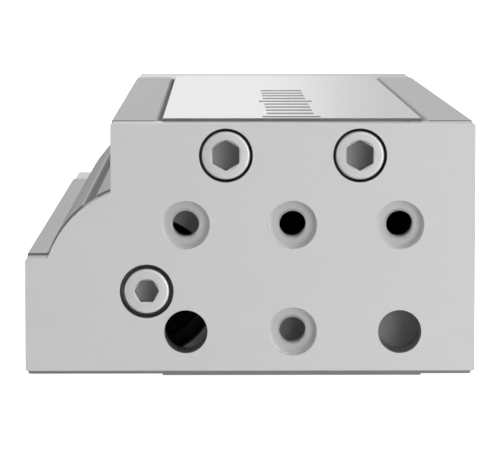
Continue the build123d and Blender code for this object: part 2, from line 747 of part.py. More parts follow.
# Yoke plate: joins the slide and the piston rod, and carries the user's load
yoke_seat = plate_front + yoke_screw_head_height + head_cover
rod_seat = plate_front + rod_screw_head_height + head_cover
tapped_centres = [(x * hole_pitch, upper_row) for x in (-1, 0, 1)] + [(0, lower_row)]
plain_centres = [(-hole_pitch, lower_row), (hole_pitch, lower_row)]
with BuildPart() as yoke_plate:
    with BuildSketch(cross_section(plate_back)):
        block_outline(plate_top, plate_bottom, plate_step, plate_arc_radius)
    extrude(amount=plate_thickness)
    chamfer(yoke_plate.faces().sort_by(Axis.Y)[0].edges(), plate_edge_break)
    chamfer(yoke_plate.faces().sort_by(Axis.Y)[-1].edges(), plate_edge_break)
    bore_along_y(plate_front, plate_back, tap_bore, *tapped_centres)
    bore_along_y(plate_front, plate_front + sleeve_recess_depth, sleeve_recess, *tapped_centres)
    bore_along_y(plate_front, plate_back, plain_bore, *plain_centres)
    bore_along_y(plate_front, plate_back, yoke_screw_shank + pass_clearance, *yoke_screw_centres)
    bore_along_y(plate_front, yoke_seat, head_recess, *yoke_screw_centres)
    bore_along_y(plate_front, plate_back, rod_screw_shank + pass_clearance, rod_axis)
    bore_along_y(plate_front, rod_seat, head_recess, rod_axis)
    bore_along_y(plate_back - dowel_depth, plate_back, dowel_diameter + 2 * fit_gap, *dowel_centres)
yoke_plate.part.label = "yoke_plate"
export_step(yoke_plate.part, "parts/yoke_plate.step")

with BuildPart() as yoke_screws:
    for x, z in yoke_screw_centres:
        seat = aimed_plane((x, yoke_seat, z), (0, 1, 0))
        grip = plate_back + yoke_screw_grip - screw_tip_gap - yoke_seat
        cap_screw(seat, yoke_screw_head, yoke_screw_head_height, yoke_screw_shank, grip, yoke_screw_key, 90)
yoke_screws.part.label = "yoke_screws"
export_step(yoke_screws.part, "parts/yoke_screws.step")

with BuildPart() as rod_screw:
    seat = aimed_plane((rod_axis[0], rod_seat, rod_axis[1]), (0, 1, 0))
    grip = plate_back + rod_screw_grip - screw_tip_gap - rod_seat
    cap_screw(seat, rod_screw_head, rod_screw_head_height, rod_screw_shank, grip, rod_screw_key)
rod_screw.part.label = "rod_screw"
export_step(rod_screw.part, "parts/rod_screw.step")

with BuildPart() as yoke_dowels:
    for x, z in dowel_centres:
        foot = aimed_plane((x, plate_back - dowel_depth + fit_gap, z), (0, 1, 0))
        round_bar(foot, dowel_diameter, 2 * dowel_depth + screw_tip_gap)
yoke_dowels.part.label = "yoke_dowels"
export_step(yoke_dowels.part, "parts/yoke_dowels.step")


# Piston rod and piston
nut_seat = piston_rear - nut_thickness - nut_cover
seal_outer_diameter = cylinder_bore - 2 * seal_side_gap
seal_groove_floor = seal_outer_diameter - 2 * seal_cord - 2 * seal_side_gap
seal_grooves = [piston_front + piston_land, piston_rear - piston_land - seal_groove_width]
magnet_front = piston_front + magnet_lead
wear_front = piston_front + wear_lead
piston_diameter = cylinder_bore - 2 * piston_side_gap
with BuildPart() as piston_rod:
    with BuildSketch(cross_section(plate_back)):
        with Locations(rod_axis):
            Circle(rod_diameter / 2)
    extrude(amount=plate_back - piston_front)
    with BuildSketch(cross_section(piston_front)):
        with Locations(rod_axis):
            Circle(rod_spigot / 2)
    extrude(amount=piston_front - piston_rear + nut_cover)
    bore_along_y(plate_back, plate_back + rod_screw_grip, rod_screw_shank + 2 * fit_gap, rod_axis)
piston_rod.part.label = "piston_rod"
export_step(piston_rod.part, "parts/piston_rod.step")

with BuildPart() as piston:
    tube_along_y(piston_front, piston_rear, piston_diameter, rod_spigot + 2 * fit_gap)
    bore_along_y(nut_seat, piston_rear, nut_recess, rod_axis)
    for groove_front in seal_grooves:
        groove_rear = groove_front + seal_groove_width
        tube_along_y(groove_front, groove_rear, cylinder_bore, seal_groove_floor, mode=Mode.SUBTRACT)
    tube_along_y(magnet_front, magnet_front + magnet_width, cylinder_bore, magnet_floor, mode=Mode.SUBTRACT)
    tube_along_y(wear_front, wear_front + wear_width, cylinder_bore, wear_floor, mode=Mode.SUBTRACT)
piston.part.label = "piston"
export_step(piston.part, "parts/piston.step")

with BuildPart() as piston_nut:
    with BuildSketch(cross_section(nut_seat)):
        with Locations(rod_axis):
            RegularPolygon(nut_size / 2, 6, major_radius=False)
            Circle(rod_spigot / 2 + fit_gap, mode=Mode.SUBTRACT)
    extrude(amount=-nut_thickness)
piston_nut.part.label = "piston_nut"
export_step(piston_nut.part, "parts/piston_nut.step")

with BuildPart() as piston_seals:
    for groove_front in seal_grooves:
        o_ring(groove_front + seal_groove_width / 2, seal_outer_diameter, seal_cord)
piston_seals.part.label = "piston_seals"
export_step(piston_seals.part, "parts/piston_seals.step")

with BuildPart() as piston_magnet:
    magnet_rear = magnet_front + magnet_width - fit_gap
    tube_along_y(magnet_front + fit_gap, magnet_rear, magnet_outer, magnet_floor + 2 * fit_gap)
piston_magnet.part.label = "piston_magnet"
export_step(piston_magnet.part, "parts/piston_magnet.step")

with BuildPart() as piston_wear_ring:
    wear_rear = wear_front + wear_width - fit_gap
    tube_along_y(wear_front + fit_gap, wear_rear, seal_outer_diameter, wear_floor + 2 * fit_gap)
piston_wear_ring.part.label = "piston_wear_ring"
export_step(piston_wear_ring.part, "parts/piston_wear_ring.step")


# Stop block: hangs under the slide and meets the stop screws at both ends of the travel
with BuildPart() as stop_block:
    with BuildSketch(Plane.XY.offset(stop_block_bottom)):
        with Locations((stop_x, stop_block_middle)):
            Rectangle(stop_block_width, stop_block_length)
    extrude(amount=rib_bottom - stop_block_bottom)
    chamfer(stop_block.faces().sort_by(Axis.Z)[0].edges(), slide_edge_break)
    block_seat = stop_block_bottom + m4_head_height + running_gap
    bore_along_z(stop_block_bottom, rib_bottom, m4_shank + 2 * fit_gap, *stop_screw_centres)
    bore_along_z(stop_block_bottom, block_seat, m4_head + 2 * head_side_gap, *stop_screw_centres)
stop_block.part.label = "stop_block"
export_step(stop_block.part, "parts/stop_block.step")

with BuildPart() as stop_block_screws:
    for x, y in stop_screw_centres:
        seat = aimed_plane((x, y, block_seat), (0, 0, 1))
        grip = rib_bottom + stop_thread_depth - screw_tip_gap - block_seat
        cap_screw(seat, m4_head, m4_head_height, m4_shank, grip, m4_key)
stop_block_screws.part.label = "stop_block_screws"
export_step(stop_block_screws.part, "parts/stop_block_screws.step")


def add_stop_holder(end):
    """The block in the pocket that holds a stop screw, at the front (-1) or rear (1) end."""
    middle = end * (holder_start + holder_end) / 2
    with BuildSketch(Plane.XY.offset(pocket_floor)) as profile:
        with Locations((stop_x, middle)):
            Rectangle(stop_holder_width, stop_holder_thickness)
    extrude(profile.sketch, amount=stop_holder_top - pocket_floor)
    bore_along_y(end * holder_start, end * holder_end, stop_screw_hole, (stop_x, stop_z))
    thread_centres = [(stop_x, end * y) for y in holder_screw_stations]
    bore_along_z(pocket_floor, holder_screw_tip + running_gap, m3_shank + 2 * fit_gap, *thread_centres)


def add_lock_nut(end):
    """The nut that locks a stop screw against its holder."""
    with BuildSketch(cross_section(end * (holder_start - lock_nut_thickness))) as profile:
        with Locations((stop_x, stop_z)):
            RegularPolygon(lock_nut_size / 2, 6, major_radius=False)
            Circle(stop_screw_hole / 2, mode=Mode.SUBTRACT)
    extrude(profile.sketch, amount=-end * lock_nut_thickness)


def add_stop_screw(end):
    """The adjustable stop screw with its key socket at the outer end."""
    start = aimed_plane((stop_x, end * stop_screw_start, stop_z), (0, end, 0))
    round_bar(start, stop_screw_diameter, stop_screw_length)
    with BuildSketch(start.offset(stop_screw_length)) as profile:
        RegularPolygon(stop_key / 2, 6, major_radius=False)
    extrude(profile.sketch, amount=-stop_key, mode=Mode.SUBTRACT)


def add_buffer(end):
    """The elastic buffer on the stop screw's inner end."""
    tip = aimed_plane((stop_x, end * buffer_tip, stop_z), (0, end, 0))
    round_bar(tip, buffer_diameter, buffer_thickness)


with BuildPart() as front_stop_holder:
    add_stop_holder(-1)
front_stop_holder.part.label = "front_stop_holder"
export_step(front_stop_holder.part, "parts/front_stop_holder.step")

with BuildPart() as rear_stop_holder:
    add_stop_holder(1)
rear_stop_holder.part.label = "rear_stop_holder"
export_step(rear_stop_holder.part, "parts/rear_stop_holder.step")

with BuildPart() as stop_holder_screws:
    for end in side_signs:
        for y in holder_screw_stations:
            seat = aimed_plane((stop_x, end * y, holder_screw_seat), (0, 0, 1))
            grip = holder_screw_tip - holder_screw_seat
            cap_screw(seat, m3_head, m3_head_height, m3_shank, grip, m3_key)
stop_holder_screws.part.label = "stop_holder_screws"
export_step(stop_holder_screws.part, "parts/stop_holder_screws.step")

with BuildPart() as stop_lock_nuts:
    for end in side_signs:
        add_lock_nut(end)
stop_lock_nuts.part.label = "stop_lock_nuts"
export_step(stop_lock_nuts.part, "parts/stop_lock_nuts.step")

with BuildPart() as front_stop_screw:
    add_stop_screw(-1)
front_stop_screw.part.label = "front_stop_screw"
export_step(front_stop_screw.part, "parts/front_stop_screw.step")

with BuildPart() as rear_stop_screw:
    add_stop_screw(1)
rear_stop_screw.part.label = "rear_stop_screw"
export_step(rear_stop_screw.part, "parts/rear_stop_screw.step")

with BuildPart() as front_stop_buffer:
    add_buffer(-1)
front_stop_buffer.part.label = "front_stop_buffer"
export_step(front_stop_buffer.part, "parts/front_stop_buffer.step")

with BuildPart() as rear_stop_buffer:
    add_buffer(1)
rear_stop_buffer.part.label = "rear_stop_buffer"
export_step(rear_stop_buffer.part, "parts/rear_stop_buffer.step")
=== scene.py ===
import logging
import math
from dataclasses import dataclass
from enum import Enum
from typing import Callable, Iterable, Sequence

import bmesh
import bpy
from bmesh.types import BMEdge, BMesh, BMFace, BMVert
from bpy.types import ID, Material, Mesh, NodeSocket, Object, ShaderNode, ShaderNodeTree
from mathutils import Matrix, Vector


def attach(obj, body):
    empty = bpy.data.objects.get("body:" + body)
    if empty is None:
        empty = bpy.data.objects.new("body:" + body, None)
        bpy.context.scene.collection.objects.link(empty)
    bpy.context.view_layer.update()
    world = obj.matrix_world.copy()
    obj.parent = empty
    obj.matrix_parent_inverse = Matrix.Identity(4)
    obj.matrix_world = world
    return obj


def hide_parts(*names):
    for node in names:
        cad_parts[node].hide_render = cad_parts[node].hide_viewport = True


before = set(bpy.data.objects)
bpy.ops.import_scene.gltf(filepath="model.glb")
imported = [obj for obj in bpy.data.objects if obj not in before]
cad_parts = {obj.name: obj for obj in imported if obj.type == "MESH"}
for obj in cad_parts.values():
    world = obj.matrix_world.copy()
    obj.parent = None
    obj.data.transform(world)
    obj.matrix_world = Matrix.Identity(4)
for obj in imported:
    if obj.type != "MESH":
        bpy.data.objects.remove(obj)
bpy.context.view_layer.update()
log = logging.getLogger("mini_slide")

# Meshes are worked in millimetres: X to the right, Y to the rear, along the travel, and Z up
MM = 0.001
OVERRUN = 2.0  # How far a tool starts and ends outside the part
PUNCH_CLEAR = 1.0  # How far a punch starts outside the key socket that it leaves
SOCKET_TIP = 0.4  # The depth of the point at the bottom of a plug's or stop screw's socket
MERGE_WITHIN = 0.0005
TOUCHING = 0.1  # How near an edge counts as lying on a face
HAIR = 0.01  # A distance too small to tell
END_FACE = 0.9  # The least Y of a normal that makes a face an end face
SMOOTH_BELOW = math.radians(12.0)
SHARP_ABOVE = math.radians(40.0)
ROUND_STEPS = 72
SMALL_STEPS = 40
ROUNDING_STEPS = 8
SLOT_COUNT = 5  # The most material slots that a piece has
ROOT_3 = math.sqrt(3.0)

# Places that more than one sub-assembly shares
ROD_AXIS = (-27.3, 16.9)
STOP_AXIS = (8.0, 28.0)
GUIDE_HEIGHT = 39.1
YOKE_FRONT, YOKE_BACK = -102.3, -94.3
BODY_FRONT, BODY_REAR = -94.0, 94.0
SLIDE_SCREW_X, SLIDE_SCREW_Z = 12.5, 42.3
RAIL_SCREW_STATIONS = (-85.0, -55.0, -25.0, 5.0, 35.0)
CAP_SCREW_CENTRES = ((-29.2, 42.0), (29.2, 42.0), (-44.5, 6.0), (28.0, 6.0))

# Radii of the passages for the three sizes of screw, and of the small one's recess
SMALL_PASSAGE, MEDIUM_PASSAGE, LARGE_PASSAGE = 1.55, 2.05, 3.05
SMALL_RECESS = 3.0

# The noise under every finish: octaves of its streaks and of its clouds, and its usual values
STREAK_DETAIL, CLOUD_DETAIL = 3.0, 2.0
NOISE_ROUGHNESS = 0.55
NOISE_LOW, NOISE_HIGH = 0.3, 0.7

# The tent's dark opening starts 12 degrees from the way to the front and has ended at 27
OPENING = tuple(-math.cos(math.radians(angle)) for angle in (12, 27))

Pairs = Sequence[tuple[float, float]]  # Radius and length, or X and Z
Point = tuple[float, float, float]


class Grain(Enum):
    """Which way the marks of a surface run."""

    ALONG_X = (1.0, 0.0, 0.0)
    ALONG_Y = (0.0, 1.0, 0.0)
    EVEN = (0.0, 0.0, 0.0)


class Axis(Enum):
    """The direction a round piece points, from its foot to its tip."""

    FRONT = (0.0, -1.0, 0.0)
    REAR = (0.0, 1.0, 0.0)
    LEFT = (-1.0, 0.0, 0.0)
    RIGHT = (1.0, 0.0, 0.0)
    UP = (0.0, 0.0, 1.0)


class Work(Enum):
    """What a tool does to a workpiece."""

    CUT = "DIFFERENCE"
    FUSE = "UNION"
    TRIM = "INTERSECT"


class Join(Enum):
    """How a level of light joins the one before it."""

    ADD = "ADD"
    SCALE = "MULTIPLY"
    LIGHTER = "MAXIMUM"


def to_linear(hex_code: str) -> tuple[float, float, float, float]:
    """Turn an sRGB hex colour into the linear colour a shader takes.

    Args:
        hex_code: Six hex digits, without a hash.

    Returns:
        Linear red, green and blue, and an alpha of one.
    """
    channels = []
    for start in (0, 2, 4):
        value = int(hex_code[start:start + 2], 16) / 255
        channels.append(value / 12.92 if value <= 0.04045 else ((value + 0.055) / 1.055) ** 2.4)
    return channels[0], channels[1], channels[2], 1.0


def add_node(tree: ShaderNodeTree, kind: str, settings: dict | None = None) -> ShaderNode:
    """Add a shader node with its settings and its links.

    Args:
        tree: The node tree of the material or the world.
        kind: The node's type name.
        settings: By the name of a property, or the name or number of an input: its value, or
            the socket that feeds it.

    Returns:
        The new node.
    """
    node = tree.nodes.new(kind)
    for name, value in (settings or {}).items():
        if isinstance(value, NodeSocket):
            tree.links.new(value, node.inputs[name])
        elif isinstance(name, int) or name in node.inputs:
            node.inputs[name].default_value = value
        else:
            setattr(node, name, value)
    return node


@dataclass(frozen=True)
class Finish:
    """A surface finish: what the material is and how its surface was made.

    Its grain is streaks of a length and a width in millimetres, which vary its tone, its
    roughness and its relief. A second, larger pattern varies the tone in soft clouds.
    """

    name: str
    light: str
    dark: str
    metallic: float
    roughness: float
    grain: Grain = Grain.EVEN
    streak_length: float = 10.0
    streak_width: float = 0.25
    relief: float = 0.002
    roughness_swing: float = 0.06
    cloud_size: float = 14.0
    cloud_share: float = 0.35
    glow: float = 0.0

    def material(self) -> Material:
        """Make the finish as a node material, the first time it is asked for.

        Returns:
            The material, which all pieces with this finish share.
        """
        if self.name in bpy.data.materials:
            return bpy.data.materials[self.name]
        material = bpy.data.materials.new(self.name)
        material.use_nodes = True
        tree = material.node_tree
        tree.nodes.clear()
        place = add_node(tree, "ShaderNodeTexCoord").outputs["Object"]
        patterns = []
        cloud_scale = [1 / (self.cloud_size * MM)] * 3
        for scale, detail in ((self.streak_scale(), STREAK_DETAIL), (cloud_scale, CLOUD_DETAIL)):
            spread = add_node(tree, "ShaderNodeMapping", {"Scale": scale, "Vector": place})
            noise = {"Scale": 1.0, "Detail": detail, "Roughness": NOISE_ROUGHNESS}
            noise["Vector"] = spread.outputs["Vector"]
            patterns.append(add_node(tree, "ShaderNodeTexNoise", noise).outputs["Fac"])
        streaks, clouds = patterns
        blend = {"data_type": "FLOAT", 0: self.cloud_share, 2: streaks, 3: clouds}
        share = add_node(tree, "ShaderNodeMix", blend).outputs[0]
        tones = {6: to_linear(self.dark), 7: to_linear(self.light)}
        tone = add_node(tree, "ShaderNodeMix", {"data_type": "RGBA", 0: share, **tones})
        polish = {"From Min": NOISE_LOW, "From Max": NOISE_HIGH, "Value": share}
        polish["To Min"] = self.roughness - self.roughness_swing
        polish["To Max"] = self.roughness + self.roughness_swing
        gloss = add_node(tree, "ShaderNodeMapRange", polish)
        relief = {"Strength": 1.0, "Distance": self.relief * MM, "Height": streaks}
        bump = add_node(tree, "ShaderNodeBump", relief)
        surface = {"Metallic": self.metallic, "Emission Color": to_linear("ffffff")}
        surface |= {"Emission Strength": self.glow, "Base Color": tone.outputs[2]}
        surface |= {"Roughness": gloss.outputs["Result"], "Normal": bump.outputs["Normal"]}
        shader = add_node(tree, "ShaderNodeBsdfPrincipled", surface)
        add_node(tree, "ShaderNodeOutputMaterial", {"Surface": shader.outputs["BSDF"]})
        return material

    def streak_scale(self) -> list[float]:
        """Work out the streaks' scale from their real length and width.

        Returns:
            Cycles per metre along X, Y and Z.
        """
        across = 1 / (self.streak_width * MM)
        along = 1 / (self.streak_length * MM)
        return [along if share > 0 else across for share in self.grain.value]


# Clear anodised aluminium, brushed across: a silky light grey with fine level lines
BRUSHED_ALUMINIUM = Finish("anodised_aluminium_brushed", "eeeeef", "e8e8e9", 1.0, 0.55,
                           Grain.ALONG_X, 4.0, 0.25, 0.003, 0.04, 9.0, 0.12)
# Clear anodised aluminium, extruded and blasted: an even mid grey with a trace of the draw lines
BLASTED_ALUMINIUM = Finish("anodised_aluminium_blasted", "e8e8e9", "e1e1e3", 1.0, 0.55,
                           Grain.ALONG_Y, 6.0, 0.3, 0.002, 0.02, 14.0, 0.25)
# Clear anodised aluminium, fine milled: a satin grey that catches more of the light behind it
SATIN_ALUMINIUM = Finish("anodised_aluminium_satin", "eeeeef", "e8e8ea", 1.0, 0.28,
                         Grain.ALONG_X, 5.0, 0.3, 0.001, 0.03)
# Clear anodised aluminium, bored or milled: smoother, with close turning marks
MACHINED_ALUMINIUM = Finish("anodised_aluminium_machined", "ebebec", "e3e3e5", 1.0, 0.45,
                            Grain.EVEN, 0.3, 0.3, 0.003)
# Clear anodised aluminium, rough milled, for the channel: matt walls, painted lighter than the
# housing as painted light in the narrow gap beside the slide
ROUGH_MILLED_ALUMINIUM_PAINTED_LIGHT = Finish("anodised_aluminium_rough_milled_painted_light", "f6f6f7", "f0f0f2", 1.0, 0.85,
                                Grain.EVEN, 0.3, 0.3, 0.003)
# Clear anodised aluminium, sawn to length, for end faces: coarse marks, and a darker grey that is
# painted shade, for the shade on the housing's front face
SAWN_ALUMINIUM_PAINTED_SHADE = Finish("anodised_aluminium_sawn_painted_shade", "a8a8a9", "9c9c9e", 1.0, 0.52,
                        Grain.ALONG_X, 3.0, 0.4, 0.004)
# Clear anodised aluminium, drilled, for holes: coarser marks, and a duller, darker grey that is
# painted shade on the walls of the holes
BORED_ALUMINIUM_PAINTED_SHADE = Finish("anodised_aluminium_bored_painted_shade", "bcbcbd", "b0b0b2", 1.0, 0.52,
                         Grain.EVEN, 0.4, 0.4, 0.004)
# Hard anodised aluminium, honed: the dark grey coat of a cylinder bore
HARD_ANODISED = Finish("anodised_aluminium_hard_bore", "2e2e30", "232325", 0.0, 0.4,
                       Grain.EVEN, 0.3, 0.3, 0.002)
# Hard anodised aluminium, turned: deep charcoal with fine turning marks, its near-black also
# painted shade for the darkness seen through the yoke plate's lower holes
BLACK_ALUMINIUM_PAINTED_SHADE = Finish("anodised_aluminium_black_painted_shade", "141416", "0c0c0e", 0.0, 0.65,
                         Grain.EVEN, 0.3, 0.3, 0.003)
# Hardened steel, surface ground: bright, nearly a mirror, with faint lines along the travel
GROUND_STEEL = Finish("hardened_steel_ground", "dedfe0", "d9dadb", 1.0, 0.2,
                      Grain.ALONG_Y, 16.0, 0.22, 0.0008, 0.015)
# Hardened steel for the end faces: a darker grey that is painted shade, for the shade on the
# slide's front face above the yoke plate
END_STEEL_PAINTED_SHADE = Finish("hardened_steel_end_face_painted_shade", "9c9d9e", "8a8b8c", 1.0, 0.42,
                      Grain.EVEN, 0.3, 0.3, 0.003)
# Hardened steel, etched: a matt grey that stays dull beside the ground face
ETCHED_STEEL = Finish("hardened_steel_etched", "c8c9ca", "babbbc", 1.0, 0.62,
                      Grain.EVEN, 0.2, 0.2, 0.004, 0.05)
# Bearing steel, lapped: a clear mirror
LAPPED_STEEL = Finish("bearing_steel_lapped", "dadbdc", "cfd0d2", 1.0, 0.08,
                      Grain.EVEN, 0.5, 0.5, 0.0004, 0.02)
# Stainless screw steel, cold headed and tumbled: satin with soft dents
SCREW_STEEL = Finish("stainless_steel_cold_headed", "f1f1f2", "e7e7e8", 1.0, 0.52,
                     Grain.EVEN, 0.6, 0.6, 0.004)
# Stainless screw steel, pressed: the key socket's tool marks, darker and duller than the head, the
# darker grey painted shade inside the socket
SOCKET_STEEL_PAINTED_SHADE = Finish("stainless_steel_socket_painted_shade", "9a9a9b", "7c7c7e", 1.0, 0.5,
                      Grain.ALONG_Y, 2.0, 0.3, 0.006)
# Phosphated spring steel, stamped: an oily black
SPRING_STEEL = Finish("spring_steel_phosphated", "141415", "0c0c0d", 0.0, 0.6,
                      Grain.EVEN, 0.3, 0.3, 0.003)
# Chromium plated steel, ground and polished along its length
CHROMED_STEEL = Finish("chromed_steel_rod", "dcdee0", "d2d4d6", 1.0, 0.12,
                       Grain.EVEN, 0.3, 0.2, 0.0006, 0.03)
# Bronze, sintered and oil soaked: dull gold with open pores
SINTERED_BRONZE = Finish("bronze_sintered", "b08a55", "8a683c", 1.0, 0.55,
                         Grain.EVEN, 0.2, 0.2, 0.02, 0.1)
# Nitrile rubber, moulded: matt near-black
MOULDED_RUBBER = Finish("nitrile_rubber_moulded", "2b2b2c", "1d1d1e", 0.0, 0.6,
                        Grain.EVEN, 0.4, 0.4, 0.006, 0.08)
# Polyoxymethylene, moulded: off-white with a slight gloss
MOULDED_PLASTIC = Finish("polyoxymethylene_moulded", "dcd8cc", "d2cdc0", 0.0, 0.42,
                         Grain.EVEN, 0.6, 0.6, 0.003, 0.06)
# Ferrite, pressed: charcoal and gritty
PRESSED_FERRITE = Finish("ferrite_pressed", "3a3a3c", "29292b", 0.0, 0.7,
                         Grain.EVEN, 0.2, 0.2, 0.01, 0.08)
# Studio paper, matt: an even white that glows as if under broad light
STUDIO_PAPER = Finish("studio_paper_matt", "f6f6f6", "f2f2f2", 0.0, 0.85,
                      Grain.EVEN, 4.0, 4.0, 0.0, 0.03, glow=0.85)

SCREW_FINISHES = (SCREW_STEEL, SOCKET_STEEL_PAINTED_SHADE)
MILLED_FINISHES = (SATIN_ALUMINIUM, MACHINED_ALUMINIUM)


def stored(name: str, mesh: BMesh) -> Mesh:
    """Store a worked mesh as mesh data.

    Args:
        name: The data's name.
        mesh: The mesh, which is freed.

    Returns:
        The mesh data.
    """
    data = bpy.data.meshes.new(name)
    mesh.to_mesh(data)
    mesh.free()
    return data


def placed(name: str, data: ID) -> Object:
    """Put an object into the scene, at the origin.

    Args:
        name: The object's name.
        data: Its mesh, light or camera data.

    Returns:
        The object.
    """
    thing = bpy.data.objects.new(name, data)
    bpy.context.scene.collection.objects.link(thing)
    return thing


def stand(thing: Object, place: Point, aim: Point) -> None:
    """Stand a light or a camera at a place and face it to a point."""
    thing.location = place
    thing.rotation_euler = (Vector(aim) - Vector(place)).to_track_quat("-Z", "Y").to_euler()


def vertices_in(items: Iterable[object]) -> list[BMVert]:
    """Return the vertices among the items that an operator gives back."""
    return [item for item in items if isinstance(item, BMVert)]


def chain(mesh: BMesh, points: Iterable[Sequence[float]], closed: bool) -> list[BMVert]:
    """Draw a line through points.

    Args:
        mesh: The mesh to draw in.
        points: The line's corners.
        closed: Whether the last corner joins the first.

    Returns:
        The line's corners, in order.
    """
    corners = [mesh.verts.new(point) for point in points]
    for first, second in zip(corners, corners[1:]):
        mesh.edges.new((first, second))
    if closed:
        mesh.edges.new((corners[-1], corners[0]))
    return corners


def sealed(mesh: BMesh) -> BMesh:
    """Merge a mesh's doubles and turn its faces outwards.

    Args:
        mesh: The mesh.

    Returns:
        The same mesh.
    """
    bmesh.ops.remove_doubles(mesh, verts=mesh.verts[:], dist=MERGE_WITHIN)
    bmesh.ops.recalc_face_normals(mesh, faces=mesh.faces[:])
    return mesh


def turned(foot: Point, axis: Axis, profile: Pairs, steps: int = ROUND_STEPS,
           ring: bool = False) -> BMesh:
    """Turn a profile about an axis, as on a lathe.

    Args:
        foot: The point on the axis that the profile's lengths start from.
        axis: The way the lengths run.
        profile: Radius and length pairs. A flat face closes each end that is off the axis.
        steps: Faces around the piece.
        ring: Whether the profile closes on itself instead.

    Returns:
        The turned mesh.
    """
    mesh = bmesh.new()
    along = Vector(axis.value)
    out = along.orthogonal().normalized()
    start = Vector(foot)
    points = list(profile)
    if not ring:
        points.insert(0, (0.0, points[0][1]))
        if points[-1][0] > 0:
            points.append((0.0, points[-1][1]))
    chain(mesh, [start + out * radius + along * length for radius, length in points], ring)
    line = mesh.verts[:] + mesh.edges[:]
    bmesh.ops.spin(mesh, geom=line, cent=start, axis=along, dvec=(0.0, 0.0, 0.0),
                   angle=math.tau, steps=steps, use_merge=True)
    return sealed(mesh)


def punch(foot: Point, axis: Axis, flats: float, depth: float, tip: float,
          turn: float = 0.0) -> BMesh:
    """Make the hexagonal punch that leaves a key socket, with its point.

    Args:
        foot: Where the punch starts, above the socket's mouth.
        axis: The way it points.
        flats: The width across its flats.
        depth: The length of its hexagon.
        tip: The length of its point.
        turn: Its turn about the axis, in degrees.

    Returns:
        The punch as a closed mesh.
    """
    mesh = bmesh.new()
    bmesh.ops.create_circle(mesh, cap_ends=True, segments=6, radius=flats / ROOT_3)
    turning = Matrix.Rotation(math.radians(turn), 3, "Z")
    bmesh.ops.rotate(mesh, verts=mesh.verts[:], cent=(0, 0, 0), matrix=turning)
    moved = bmesh.ops.extrude_face_region(mesh, geom=mesh.faces[:])["geom"]
    end = next(item for item in moved if isinstance(item, BMFace))
    bmesh.ops.translate(mesh, verts=end.verts[:], vec=(0.0, 0.0, depth))
    bmesh.ops.recalc_face_normals(mesh, faces=mesh.faces[:])
    bmesh.ops.poke(mesh, faces=[end], offset=tip)
    facing = Vector(axis.value).to_track_quat("Z", "X").to_matrix()
    bmesh.ops.rotate(mesh, verts=mesh.verts[:], cent=(0, 0, 0), matrix=facing)
    bmesh.ops.translate(mesh, verts=mesh.verts[:], vec=foot)
    return sealed(mesh)


def hole_start(radius: float, mouth: float) -> list[tuple[float, float]]:
    """Return the start of a hole's profile: from outside, in through the bevel at its mouth."""
    return [(radius + mouth, -OVERRUN), (radius + mouth, 0.0), (radius, mouth)]


def staged(profile: list[tuple[float, float]], stages: Pairs) -> list[tuple[float, float]]:
    """Go on with a profile through straight stages.

    Args:
        profile: The profile so far.
        stages: The radius of each stage and the length where it ends.

    Returns:
        The longer profile.
    """
    longer = list(profile)
    for radius, end in stages:
        if radius != longer[-1][0]:
            longer.append((radius, longer[-1][1]))
        longer.append((radius, end))
    return longer


def drill(foot: Point, axis: Axis, stages: Pairs, mouth: float = 0.15,
          steps: int = SMALL_STEPS) -> BMesh:
    """Return the tool for a round hole, by the radius and end of each stage from its mouth."""
    return turned(foot, axis, staged(hole_start(stages[0][0], mouth), stages), steps)


def mirrored(mesh: BMesh, signs: Point) -> BMesh:
    """Mirror a mesh through the planes of the axes.

    Args:
        mesh: The mesh.
        signs: One for each axis that stays as it is, minus one for each that turns over.

    Returns:
        The same mesh, with its faces outwards again.
    """
    bmesh.ops.scale(mesh, verts=mesh.verts[:], vec=signs)
    if math.prod(signs) < 0:
        bmesh.ops.reverse_faces(mesh, faces=mesh.faces[:])
    return mesh


def repeated(mesh: BMesh, stations: Iterable[float]) -> BMesh:
    """Copy a mesh to several stations along Y.

    Args:
        mesh: The mesh, made at station zero.
        stations: Where each copy goes.

    Returns:
        The same mesh, which then holds only the moved copies.
    """
    source = mesh.verts[:] + mesh.edges[:] + mesh.faces[:]
    for y in stations:
        made = bmesh.ops.duplicate(mesh, geom=source)["geom"]
        bmesh.ops.translate(mesh, verts=vertices_in(made), vec=(0.0, y, 0.0))
    bmesh.ops.delete(mesh, geom=vertices_in(source), context="VERTS")
    return mesh


def block(low: Point, high: Point) -> BMesh:
    """Make a square-cornered block.

    Args:
        low: Its lowest corner.
        high: Its highest corner.

    Returns:
        The block as a closed mesh.
    """
    mesh = bmesh.new()
    middle = Matrix.Translation((Vector(low) + Vector(high)) / 2)
    size = Matrix.Diagonal((*(Vector(high) - Vector(low)), 1.0))
    bmesh.ops.create_cube(mesh, size=1.0, matrix=middle @ size)
    return sealed(mesh)


def extruded(mesh: BMesh, length: float) -> BMesh:
    """Fill the closed line in a mesh and draw it out along Y.

    Args:
        mesh: A mesh that holds one closed line.
        length: How far to draw it.

    Returns:
        The same mesh, as a closed solid.
    """
    face = bmesh.ops.contextual_create(mesh, geom=mesh.edges[:])["faces"][0]
    moved = bmesh.ops.extrude_face_region(mesh, geom=[face])["geom"]
    bmesh.ops.translate(mesh, verts=vertices_in(moved), vec=(0.0, length, 0.0))
    bmesh.ops.recalc_face_normals(mesh, faces=mesh.faces[:])
    return mesh


def any_edge(edge: BMEdge) -> bool:
    """Pick every edge."""
    return True


def runs_along(edge: BMEdge) -> bool:
    """Pick the edges that run along the travel."""
    return abs(edge.verts[0].co.y - edge.verts[1].co.y) > 1


def runs_across(edge: BMEdge) -> bool:
    """Pick the edges that lie square to the travel."""
    return abs(edge.verts[0].co.y - edge.verts[1].co.y) < HAIR


